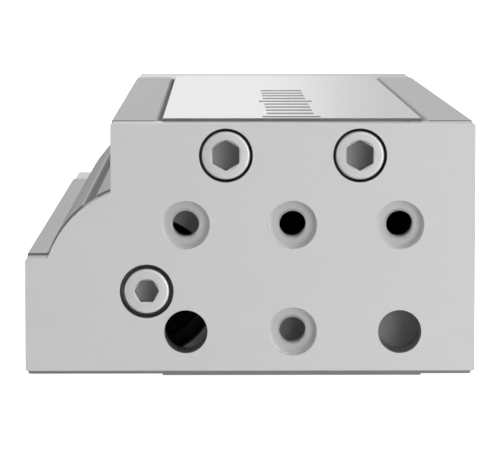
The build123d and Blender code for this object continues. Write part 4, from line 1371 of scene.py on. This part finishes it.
@dataclass
class RodGuide:
    """The bearing cap in the housing's recess, its wiper and retaining ring, and the piston rod."""

    cap_front: float = -81.0
    cap_length: float = 19.0
    cap_radius: float = 10.95
    cap_bevel: float = 0.4
    groove_radius: float = 9.1
    groove_start: float = 8.35
    groove_end: float = 10.65
    # Inside: the wiper's seat from the front, the seal's from the rear, the bush's between them
    wiper_seat: tuple[float, float] = (6.0, 3.0)
    wiper_mouth: float = 0.2
    bush_seat: tuple[float, float] = (5.0, 4.0)
    seal_seat: tuple[float, float] = (7.0, 4.0)
    seal_wall: float = 1.0
    passage: float = 4.5
    wiper_section: Pairs = (
        (4.06, -0.4), (4.3, -0.5), (4.55, -0.3), (4.9, 0.7), (5.5, 0.35), (5.95, 0.35),
        (5.95, 2.9), (4.6, 2.9), (4.3, 1.6), (4.08, 0.2),
    )
    ring_front: float = -82.15
    ring_width: float = 1.1
    ring_inner: float = 8.6
    ring_outer: float = 11.55
    ring_opening: float = 3.5
    ear_radius: float = 1.6
    ear_reach: float = 8.3
    ear_share: float = 0.6
    ear_hole: float = 0.75
    rod_radius: float = 4.0
    rod_length: float = 164.8
    rod_bevel: float = 0.3
    spigot_radius: float = 2.5
    spigot_end: float = 184.4
    spigot_bevel: float = 0.4
    thread_radius: float = 2.55
    thread_mouth: float = 0.3
    thread_depth: float = 12.0
    front_bevel: float = 0.5

    def foot(self, y: float) -> Point:
        """Return the point of the rod's axis at a station along Y."""
        return ROD_AXIS[0], y, ROD_AXIS[1]

    def build(self) -> None:
        """Build the cap, the wiper, the retaining ring and the rod."""
        # The cap's near-black is partly painted shade, for the darkness behind the yoke plate's
        # lower holes
        make_piece("bearing_cap_turned", self.cap(), "housing", [BLACK_ALUMINIUM_PAINTED_SHADE],
                   "anodised_aluminium", "bearing_cap")
        wiper = turned(self.foot(self.cap_front), Axis.REAR, self.wiper_section, ring=True)
        make_piece("rod_wiper_moulded", wiper, "housing", [MOULDED_RUBBER], "elastomer",
                   "rod_wiper")
        make_piece("bearing_retaining_ring", self.retaining_ring(), "housing", [SPRING_STEEL],
                   "screw_steel", "retaining_ring")
        make_piece("piston_rod_ground", self.rod(), "slide", [CHROMED_STEEL], "ball_steel",
                   "piston_rod")

    def cap(self) -> BMesh:
        """Turn the bearing cap, with its seats and its ring groove.

        Returns:
            The cap as a closed mesh.
        """
        radius, end, bevel = self.cap_radius, self.cap_length, self.cap_bevel
        wiper, wiper_end = self.wiper_seat
        bush, bush_end = self.bush_seat
        seal, seal_depth = self.seal_seat
        mouth = self.wiper_mouth
        profile = [(wiper, mouth), (wiper + mouth, 0.0), (radius - bevel, 0.0), (radius, bevel)]
        outside = [(radius, self.groove_start), (self.groove_radius, self.groove_end)]
        profile = staged(profile, [*outside, (radius, end - bevel)])
        profile += [(radius - bevel, end), (seal, end)]
        inside = [(seal, end - seal_depth), (self.passage, end - seal_depth - self.seal_wall)]
        inside += [(bush, bush_end), (self.passage, wiper_end)]
        profile = staged(profile, inside) + [(wiper, wiper_end)]
        return turned(self.foot(self.cap_front), Axis.REAR, profile, ring=True)

    def retaining_ring(self) -> BMesh:
        """Make the open spring ring with its two ears and their holes.

        Returns:
            The ring as a closed mesh.
        """
        inner, outer = self.ring_inner, self.ring_outer
        width, opening = self.ring_width, self.ring_opening
        x, front, z = self.foot(self.ring_front)
        profile = [(inner, 0.0), (outer, 0.0), (outer, width), (inner, width)]
        mesh = turned((x, front, z), Axis.REAR, profile, ring=True)
        high = (x + outer + OVERRUN, front + width + OVERRUN, z + opening)
        mesh = cut(mesh, [block((x, front - OVERRUN, z - opening), high)], 0)
        rise = opening + self.ear_radius * self.ear_share
        centres = [(x + self.ear_reach, front, z + side * rise) for side in (-1, 1)]
        disc = [(self.ear_radius, 0.0), (self.ear_radius, width)]
        for centre in centres:
            mesh = worked(mesh, turned(centre, Axis.REAR, disc, SMALL_STEPS), Work.FUSE, 0)
        hole = [(self.ear_hole, width + OVERRUN)]
        return cut(mesh, [drill(centre, Axis.REAR, hole, 0.0) for centre in centres], 0)

    def rod(self) -> BMesh:
        """Turn the rod, with its tapped front end and the spigot that carries the piston.

        Returns:
            The rod as a closed mesh.
        """
        radius, length, bevel = self.rod_radius, self.rod_length, self.rod_bevel
        spigot, end, thread = self.spigot_radius, self.spigot_end, self.thread_radius
        mouth, front = self.thread_mouth, self.front_bevel
        profile = [(thread, self.thread_depth), (thread, mouth), (thread + mouth, 0.0)]
        profile += [(radius - front, 0.0), (radius, front), (radius, length - bevel)]
        profile += [(radius - bevel, length), (spigot, length)]
        profile += [(spigot, end - self.spigot_bevel), (spigot - self.spigot_bevel, end)]
        return turned(self.foot(YOKE_BACK), Axis.REAR, profile)


@dataclass
class BallGuide:
    """The rails on both sides, with the balls that run between them in their cages."""

    ball_x: float = 20.7
    ball_radius: float = 1.6
    ball_segments: int = 28
    ball_rings: int = 18
    raceway: float = 1.75
    outer_low: Point = (21.5, -92.0, 34.0)
    outer_high: Point = (25.5, 42.0, 43.9)
    inner_low: Point = (12.0, -42.0, 34.6)
    inner_high: Point = (19.9, 92.0, 44.2)
    edge: float = 0.3
    inner_stations: tuple[float, ...] = (-35.0, -11.0, 13.0, 37.0, 61.0, 85.0)
    inner_screw: SocketScrew = small_screw(5.5, 3.0, 9.65, 2.5)
    inner_screw_x: float = 15.25
    inner_screw_seat: float = 37.7
    inner_recess: float = 2.8
    balls: int = 14
    ball_pitch: float = 5.6
    cage_low: Point = (20.2, -40.0, 36.5)
    cage_high: Point = (21.2, 40.0, 41.7)
    cage_edge: float = 0.2
    window_gap: float = 0.1
    window_mouth: float = 0.12
    pin_stations: tuple[float, ...] = (-91.0, 41.0)
    pin_hole: float = 0.65
    pin_mouth: float = 0.05
    pin_radius: float = 0.6
    pin_face: float = 25.45
    pin_bevel: float = 0.2

    def build(self) -> None:
        """Build each side's pieces; the left ones are the right ones mirrored."""
        pins = []
        for side, sign in (("right", 1.0), ("left", -1.0)):
            cage = f"cage_{side}"
            # What each piece is, its mesh, body, finishes and slot, and the node it stands for
            for made, mesh, body, finishes, slot, node in (
                ("outer_rail_ground", self.outer_rail(), "housing", [GROUND_STEEL], "ground_steel",
                 f"outer_rail_{side}"),
                ("inner_rail_ground", self.inner_rail(), "slide", [GROUND_STEEL], "ground_steel",
                 f"inner_rail_{side}"),
                ("inner_cap_screws", self.inner_screws(), "slide", SCREW_FINISHES, "screw_steel",
                 f"inner_rail_screws_{side}"),
                ("ball_cage_moulded", self.cage(), cage, [MOULDED_PLASTIC], "engineering_plastic",
                 f"ball_{cage}"),
                ("balls_lapped", self.ball_row(), cage, [LAPPED_STEEL], "ball_steel",
                 f"balls_{side}"),
            ):
                mesh = mirrored(mesh, (sign, 1.0, 1.0))
                make_piece(f"{side}_{made}", mesh, body, finishes, slot, node)
            pins.append(mirrored(self.pins(), (sign, 1.0, 1.0)))
        make_piece("cage_stop_pins_turned", joined(pins), "housing", [SCREW_STEEL], "screw_steel",
                   "cage_stop_pins")

    def rail(self, low: Point, high: Point) -> BMesh:
        """Make a rail's blank with its raceway.

        Args:
            low: The rail's lowest corner.
            high: Its highest corner.

        Returns:
            The blank as a closed mesh.
        """
        mesh = block(low, high)
        break_edges(mesh, self.edge)
        foot = (self.ball_x, low[1] - OVERRUN, GUIDE_HEIGHT)
        stages = [(self.raceway, high[1] - low[1] + 2 * OVERRUN)]
        return cut(mesh, [drill(foot, Axis.REAR, stages, 0.0)], 0)

    def outer_rail(self) -> BMesh:
        """Make the right outer rail with its raceway, screw holes and pin holes.

        Returns:
            The rail as a closed mesh.
        """
        mesh = self.rail(self.outer_low, self.outer_high)
        face = self.outer_high[0]
        depth = face - self.outer_low[0] + OVERRUN
        tools = [drill((face, y, GUIDE_HEIGHT), Axis.LEFT, [(SMALL_PASSAGE, depth)])
                 for y in RAIL_SCREW_STATIONS]
        hole = [(self.pin_hole, depth)]
        tools += [drill((face, y, GUIDE_HEIGHT), Axis.LEFT, hole, self.pin_mouth)
                  for y in self.pin_stations]
        return cut(mesh, tools, 0)

    def inner_rail(self) -> BMesh:
        """Make the right inner rail with its raceway and its counterbored holes.

        Returns:
            The rail as a closed mesh.
        """
        mesh = self.rail(self.inner_low, self.inner_high)
        base = self.inner_low[2]
        stages = [(self.inner_recess, self.inner_screw_seat - base),
                  (SMALL_PASSAGE, self.inner_high[2] - base + OVERRUN)]
        places = [(self.inner_screw_x, y, base) for y in self.inner_stations]
        return cut(mesh, [drill(place, Axis.UP, stages) for place in places], 0)

    def inner_screws(self) -> BMesh:
        """Return the right inner rail's screws."""
        screw = self.inner_screw.made((self.inner_screw_x, 0.0, self.inner_screw_seat), Axis.UP)
        return repeated(screw, self.inner_stations)

    def ball_stations(self) -> list[float]:
        """Return the balls' stations along Y, at rest."""
        return [(index - (self.balls - 1) / 2) * self.ball_pitch for index in range(self.balls)]

    def cage(self) -> BMesh:
        """Make the right cage with a window for each ball.

        Returns:
            The cage as a closed mesh.
        """
        mesh = block(self.cage_low, self.cage_high)
        break_edges(mesh, self.cage_edge)
        face = self.cage_high[0]
        window = [(self.ball_radius + self.window_gap, face - self.cage_low[0] + OVERRUN)]
        places = [(face, y, GUIDE_HEIGHT) for y in self.ball_stations()]
        tools = [drill(place, Axis.LEFT, window, self.window_mouth) for place in places]
        return cut(mesh, tools, 0)

    def ball_row(self) -> BMesh:
        """Make the right row of balls.

        Returns:
            The balls as one mesh.
        """
        mesh = bmesh.new()
        place = Matrix.Translation((self.ball_x, 0.0, GUIDE_HEIGHT))
        bmesh.ops.create_uvsphere(mesh, u_segments=self.ball_segments, v_segments=self.ball_rings,
                                  radius=self.ball_radius, matrix=place)
        return repeated(mesh, self.ball_stations())

    def pins(self) -> BMesh:
        """Make the right side's pins, which keep the cage between the rails.

        Returns:
            The pins as one mesh.
        """
        length = self.pin_face - self.cage_low[0]
        radius, bevel = self.pin_radius, self.pin_bevel
        profile = [(radius, 0.0), (radius, length - bevel), (radius - bevel, length)]
        pin = turned((self.pin_face, 0.0, GUIDE_HEIGHT), Axis.LEFT, profile, SMALL_STEPS)
        return repeated(pin, self.pin_stations)


@dataclass
class TravelStops:
    """The stop block under the slide and, at each end, a holder, its stop screw, nut and buffer."""

    holder_start: float = 69.3
    holder_end: float = 81.3
    holder_half_width: float = 5.0
    holder_bottom: float = 18.0
    holder_top: float = 33.0
    holder_edge: float = 0.5
    holder_mouth: float = 0.4
    holder_thread_depth: float = 5.3
    thread_gap: float = 0.06
    nut_flats: float = 10.0
    nut_height: float = 3.0
    nut_slope: float = 30.0
    nut_clear: float = 0.1
    nut_mouth: float = 0.3
    screw_start: float = 63.3
    screw_length: float = 21.0
    screw_radius: float = 3.0
    # The bevel at the screw's inner end, as steps in from its radius and lengths
    screw_bevel: Pairs = ((0.6, 0.0), (0.5, 0.1))
    thread_start: float = 0.3
    thread_run_out: float = 0.5
    thread_pitch: float = 0.75
    thread_rise: float = 0.45
    key: float = 3.0
    buffer_length: float = 3.0
    # The buffer's rounded tip, as radii and lengths
    buffer_tip: Pairs = ((1.9, 0.0), (2.45, 0.2), (2.72, 0.55), (2.8, 1.0))
    holder_screw: SocketScrew = small_screw(5.5, 3.0, 15.0, 2.5)
    holder_screw_seat: float = 8.0
    holder_stations: tuple[float, float] = (71.8, 78.8)
    block_low: Point = (2.5, 40.0, 23.4)
    block_high: Point = (13.5, 60.0, 34.6)
    block_edge: float = 0.3
    block_recess: float = 3.75
    block_screw: SocketScrew = small_screw(7.0, 4.0, 12.9, 3.0)
    block_screw_seat: float = 27.7
    block_stations: tuple[float, float] = (45.0, 55.0)

    def build(self) -> None:
        """Build both ends' stops, then the block that meets them."""
        nuts, screws = [], []
        for end, signs in (("rear_stop", (1.0, 1.0, 1.0)), ("front_stop", (1.0, -1.0, 1.0))):
            make_piece(f"{end}_holder_milled", mirrored(self.holder(), signs), "housing",
                       MILLED_FINISHES, "anodised_aluminium", f"{end}_holder")
            make_piece(f"{end}_set_screw", mirrored(self.stop_screw(), signs), end,
                       SCREW_FINISHES, "screw_steel", f"{end}_screw")
            make_piece(f"{end}_buffer_moulded", mirrored(self.buffer(), signs), end,
                       [MOULDED_RUBBER], "elastomer", f"{end}_buffer")
            nuts.append(mirrored(self.nut(), signs))
            pair = self.screw_pair(self.holder_screw, self.holder_screw_seat, self.holder_stations)
            screws.append(mirrored(pair, signs))
        make_piece("stop_lock_nuts_pressed", joined(nuts), "housing", [SCREW_STEEL], "screw_steel",
                   "stop_lock_nuts")
        make_piece("stop_holder_cap_screws", joined(screws), "housing", SCREW_FINISHES,
                   "screw_steel", "stop_holder_screws")
        make_piece("stop_block_ground", self.stop_block(), "slide", [GROUND_STEEL], "ground_steel",
                   "stop_block")
        pair = self.screw_pair(self.block_screw, self.block_screw_seat, self.block_stations)
        make_piece("stop_block_cap_screws", pair, "slide", SCREW_FINISHES, "screw_steel",
                   "stop_block_screws")

    def at(self, y: float) -> Point:
        """Return the point of the stop screws' axis at a station along Y."""
        return STOP_AXIS[0], y, STOP_AXIS[1]

    def screw_pair(self, screw: SocketScrew, seat: float, stations: Sequence[float]) -> BMesh:
        """Return upright screws in the stop screws' plane, by the height of their seat."""
        return repeated(screw.made((STOP_AXIS[0], 0.0, seat), Axis.UP), stations)

    def holder(self) -> BMesh:
        """Make the rear holder with its thread and its two screw holes.

        Returns:
            The holder as a closed mesh.
        """
        x, half, base = STOP_AXIS[0], self.holder_half_width, self.holder_bottom
        high = (x + half, self.holder_end, self.holder_top)
        mesh = block((x - half, self.holder_start, base), high)
        break_edges(mesh, self.holder_edge)
        depth = self.holder_end - self.holder_start + OVERRUN
        thread = [(self.screw_radius + self.thread_gap, depth)]
        mesh = cut(mesh, [drill(self.at(self.holder_start), Axis.REAR, thread, self.holder_mouth)])
        hole = [(SMALL_PASSAGE, self.holder_thread_depth)]
        return cut(mesh, [drill((x, y, base), Axis.UP, hole) for y in self.holder_stations])

    def nut(self) -> BMesh:
        """Make the rear lock nut: a hexagon with its corners turned off and a bore.

        Returns:
            The nut as a closed mesh.
        """
        height, flat = self.nut_height, self.nut_flats / 2
        start = self.at(self.holder_start - height)
        mesh = bmesh.new()
        bmesh.ops.create_circle(mesh, segments=6, radius=self.nut_flats / ROOT_3)
        upright = Matrix.Rotation(math.radians(90), 3, "X")
        bmesh.ops.rotate(mesh, verts=mesh.verts[:], cent=(0, 0, 0), matrix=upright)
        bmesh.ops.translate(mesh, verts=mesh.verts[:], vec=start)
        mesh = extruded(mesh, height)
        corner = self.nut_flats / ROOT_3 + self.nut_clear
        slope = (corner - flat) * math.tan(math.radians(self.nut_slope))
        profile = [(flat, 0.0), (corner, slope), (corner, height - slope), (flat, height)]
        mesh = worked(mesh, turned(start, Axis.REAR, profile), Work.TRIM, 0)
        bore = [(self.screw_radius + self.thread_gap, height + OVERRUN)]
        return cut(mesh, [drill(start, Axis.REAR, bore, self.nut_mouth)], 0)

    def stop_screw(self) -> BMesh:
        """Make the rear stop screw, threaded all along, with its key socket at the outer end.

        Returns:
            The screw as a closed mesh.
        """
        radius, length, rise = self.screw_radius, self.screw_length, self.thread_rise
        profile = [(radius - step, end) for step, end in self.screw_bevel]
        profile += thread_profile(radius - rise, self.thread_start, length - self.thread_run_out,
                                  self.thread_pitch, rise)
        profile.append((radius - self.screw_bevel[0][0], length))
        mesh = turned(self.at(self.screw_start), Axis.REAR, profile, SMALL_STEPS)
        above = self.at(self.screw_start + length + PUNCH_CLEAR)
        depth = self.key + PUNCH_CLEAR
        # The socket's walls take the second finish, whose darker grey is painted shade
        return cut(mesh, [punch(above, Axis.FRONT, self.key, depth, SOCKET_TIP)])

    def buffer(self) -> BMesh:
        """Turn the rear buffer with its rounded tip.

        Returns:
            The buffer as a closed mesh.
        """
        length = self.buffer_length
        profile = [*self.buffer_tip, (self.buffer_tip[-1][0], length)]
        return turned(self.at(self.screw_start - length), Axis.REAR, profile, SMALL_STEPS)

    def stop_block(self) -> BMesh:
        """Make the block with its two counterbored holes.

        Returns:
            The block as a closed mesh.
        """
        mesh = block(self.block_low, self.block_high)
        break_edges(mesh, self.block_edge)
        base = self.block_low[2]
        stages = [(self.block_recess, self.block_screw_seat - base),
                  (MEDIUM_PASSAGE, self.block_high[2] - base + OVERRUN)]
        places = [(STOP_AXIS[0], y, base) for y in self.block_stations]
        return cut(mesh, [drill(place, Axis.UP, stages) for place in places], 0)


@dataclass
class CarriedNodes:
    """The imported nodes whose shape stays, and the finish that each one gets."""

    finishes: tuple[tuple[Finish, tuple[str, ...]], ...] = (
        (MACHINED_ALUMINIUM, ("piston",)),
        (LAPPED_STEEL, ("yoke_dowels",)),
        (SCREW_STEEL, ("piston_nut",)),
        (SINTERED_BRONZE, ("rod_bush",)),
        (MOULDED_RUBBER, ("end_cap_o_ring", "rod_seal", "bearing_o_ring", "front_cushion",
                          "rear_cushion", "piston_seals")),
        (MOULDED_PLASTIC, ("piston_wear_ring",)),
        (PRESSED_FERRITE, ("piston_magnet",)),
    )

    def dress(self) -> None:
        """Give each carried node its finish."""
        for finish, names in self.finishes:
            for name in names:
                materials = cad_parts[name].data.materials
                materials.clear()
                materials.append(finish.material())
                log.info("%s keeps its shape and gets %s", name, finish.name)


@dataclass(frozen=True)
class Softbox:
    """An area light: where it stands, what it faces, its size in metres and its power in watts."""

    name: str
    place: Point
    aim: Point
    size: tuple[float, float]
    power: float

    def build(self) -> None:
        """Add the light to the scene, unseen by the camera."""
        data = bpy.data.lights.new(self.name, "AREA")
        data.shape = "RECTANGLE"
        data.size, data.size_y = self.size
        data.energy = self.power
        light = placed(self.name, data)
        stand(light, self.place, self.aim)
        light.visible_camera = False


@dataclass(frozen=True)
class Ramp:
    """A soft ramp along one axis of the direction: from a level at its start to one at its end."""

    axis: str
    start: float
    end: float
    first: float
    last: float


@dataclass(frozen=True)
class Panel:
    """A panel of the tent: its ramps, what is added to them, and how it joins those before it."""

    join: Join
    ramps: tuple[Ramp, ...]
    base: float = 0.0
    blend: Join = Join.SCALE


@dataclass
class Studio:
    """The plain pale floor, the soft light and the camera."""

    camera_place: Point = (-0.01374, -0.69092, 0.08191)
    camera_aim: Point = (-0.00801, -0.1023, 0.02934)
    lens: float = 228.25
    sensor: float = 36.0
    clip: tuple[float, float] = (0.01, 100.0)
    floor_radius: float = 12.0
    floor_steps: int = 96
    floor_height: float = -0.00005
    lights: tuple[Softbox, ...] = (
        Softbox("key_softbox", (0.8, -0.85, 0.9), (0.0, 0.0, 0.02), (1.6, 1.6), 0.6),
    )
    # The tent, by the direction that a reflection looks: X right, Y to the rear, Z up
    panels: tuple[Panel, ...] = (
        # The walls, the left one lighter, and the roof
        Panel(Join.ADD, (Ramp("X", -0.8, 0.8, 0.45, 0.31),)),
        Panel(Join.ADD, (Ramp("Z", 0.0, 0.9, 0.0, 0.24),)),
        # The dark opening around the camera
        Panel(Join.SCALE, (Ramp("Y", *OPENING, 0.02, 1.0),)),
        # The strong light from the front, low down
        Panel(Join.SCALE, (Ramp("Y", -0.6, 0.1, 4.65, 0.0), Ramp("Z", 0.05, 0.35, 1.0, 0.1)), 1.0),
        # Less light from below
        Panel(Join.SCALE, (Ramp("Z", -0.4, 0.05, -1.0, 0.0), Ramp("Y", -0.5, 0.1, 0.65, 0.55)),
              1.0),
        # The front light leans to the right
        Panel(Join.SCALE, (Ramp("X", -0.5, 0.5, -0.73, 0.8), Ramp("Y", -0.8, -0.3, 1.0, 0.0)), 1.0),
        # The glow behind the slide, and a fainter band all along the rear
        Panel(Join.ADD, (Ramp("X", 0.012, 0.055, 0.38, 0.0), Ramp("X", -0.06, -0.03, 0.0, 1.0),
                         Ramp("Z", 0.12, 0.3, 1.0, 0.0), Ramp("Y", 0.5, 0.8, 0.0, 1.0))),
        Panel(Join.ADD, (Ramp("Z", 0.12, 0.3, 0.34, 0.0), Ramp("Y", 0.5, 0.9, 0.0, 1.0))),
        # The flag that keeps the rear left dark
        Panel(Join.SCALE, (Ramp("X", -0.3, -0.05, 0.1, 1.0), Ramp("Y", 0.2, 0.6, 1.0, 0.0),
                           Ramp("Z", 0.25, 0.6, 0.0, 1.0)), blend=Join.LIGHTER),
    )

    def build(self) -> None:
        """Build the floor, the world, the lights and the camera."""
        scene = bpy.context.scene
        scene.view_settings.view_transform = "Standard"
        self.build_floor()
        self.build_world()
        for light in self.lights:
            light.build()
        data = bpy.data.cameras.new("camera")
        data.lens = self.lens
        data.sensor_width = self.sensor
        data.clip_start, data.clip_end = self.clip
        scene.camera = placed("camera", data)
        stand(scene.camera, self.camera_place, self.camera_aim)

    def build_floor(self) -> None:
        """Build the round floor that the object stands on."""
        mesh = bmesh.new()
        bmesh.ops.create_circle(mesh, cap_ends=True, segments=self.floor_steps,
                                radius=self.floor_radius)
        bmesh.ops.translate(mesh, verts=mesh.verts[:], vec=(0.0, 0.0, self.floor_height))
        data = stored("floor", mesh)
        data.materials.append(STUDIO_PAPER.material())
        floor = placed("floor", data)
        floor.visible_glossy = False
        floor.visible_shadow = False

    def build_world(self) -> None:
        """Surround the object with a wide soft tent, panel by panel."""
        world = bpy.data.worlds.new("studio")
        world.use_nodes = True
        tree = world.node_tree
        tree.nodes.clear()
        place = add_node(tree, "ShaderNodeTexCoord").outputs["Generated"]
        way = add_node(tree, "ShaderNodeSeparateXYZ", {0: place}).outputs
        level = 0.0
        for panel in self.panels:
            # The number that leaves the first ramp as it is
            part = 1.0 if panel.blend is Join.SCALE else 0.0
            for ramp in panel.ramps:
                soft = {"interpolation_type": "SMOOTHSTEP", "Value": way[ramp.axis]}
                soft |= {"From Min": ramp.start, "From Max": ramp.end}
                soft |= {"To Min": ramp.first, "To Max": ramp.last}
                step = add_node(tree, "ShaderNodeMapRange", soft).outputs["Result"]
                mixed = {"operation": panel.blend.value, 0: part, 1: step}
                part = add_node(tree, "ShaderNodeMath", mixed).outputs[0]
            added = {"operation": "ADD", 0: part, 1: panel.base}
            part = add_node(tree, "ShaderNodeMath", added).outputs[0]
            mixed = {"operation": panel.join.value, 0: level, 1: part}
            level = add_node(tree, "ShaderNodeMath", mixed).outputs[0]
        light = {"Color": to_linear("ffffff"), "Strength": level}
        back = add_node(tree, "ShaderNodeBackground", light)
        add_node(tree, "ShaderNodeOutputWorld", {"Surface": back.outputs["Background"]})
        bpy.context.scene.world = world


def main() -> None:
    """Build the sub-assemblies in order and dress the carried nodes."""
    logging.basicConfig(level=logging.INFO, format="%(message)s")
    Studio().build()
    for assembly in (YokePlate(), YokeScrews(), Housing(), EndCap(), SlideTable(), SideScrews(),
                     RodGuide(), BallGuide(), TravelStops()):
        assembly.build()
    CarriedNodes().dress()


if __name__ == "__main__":
    main()
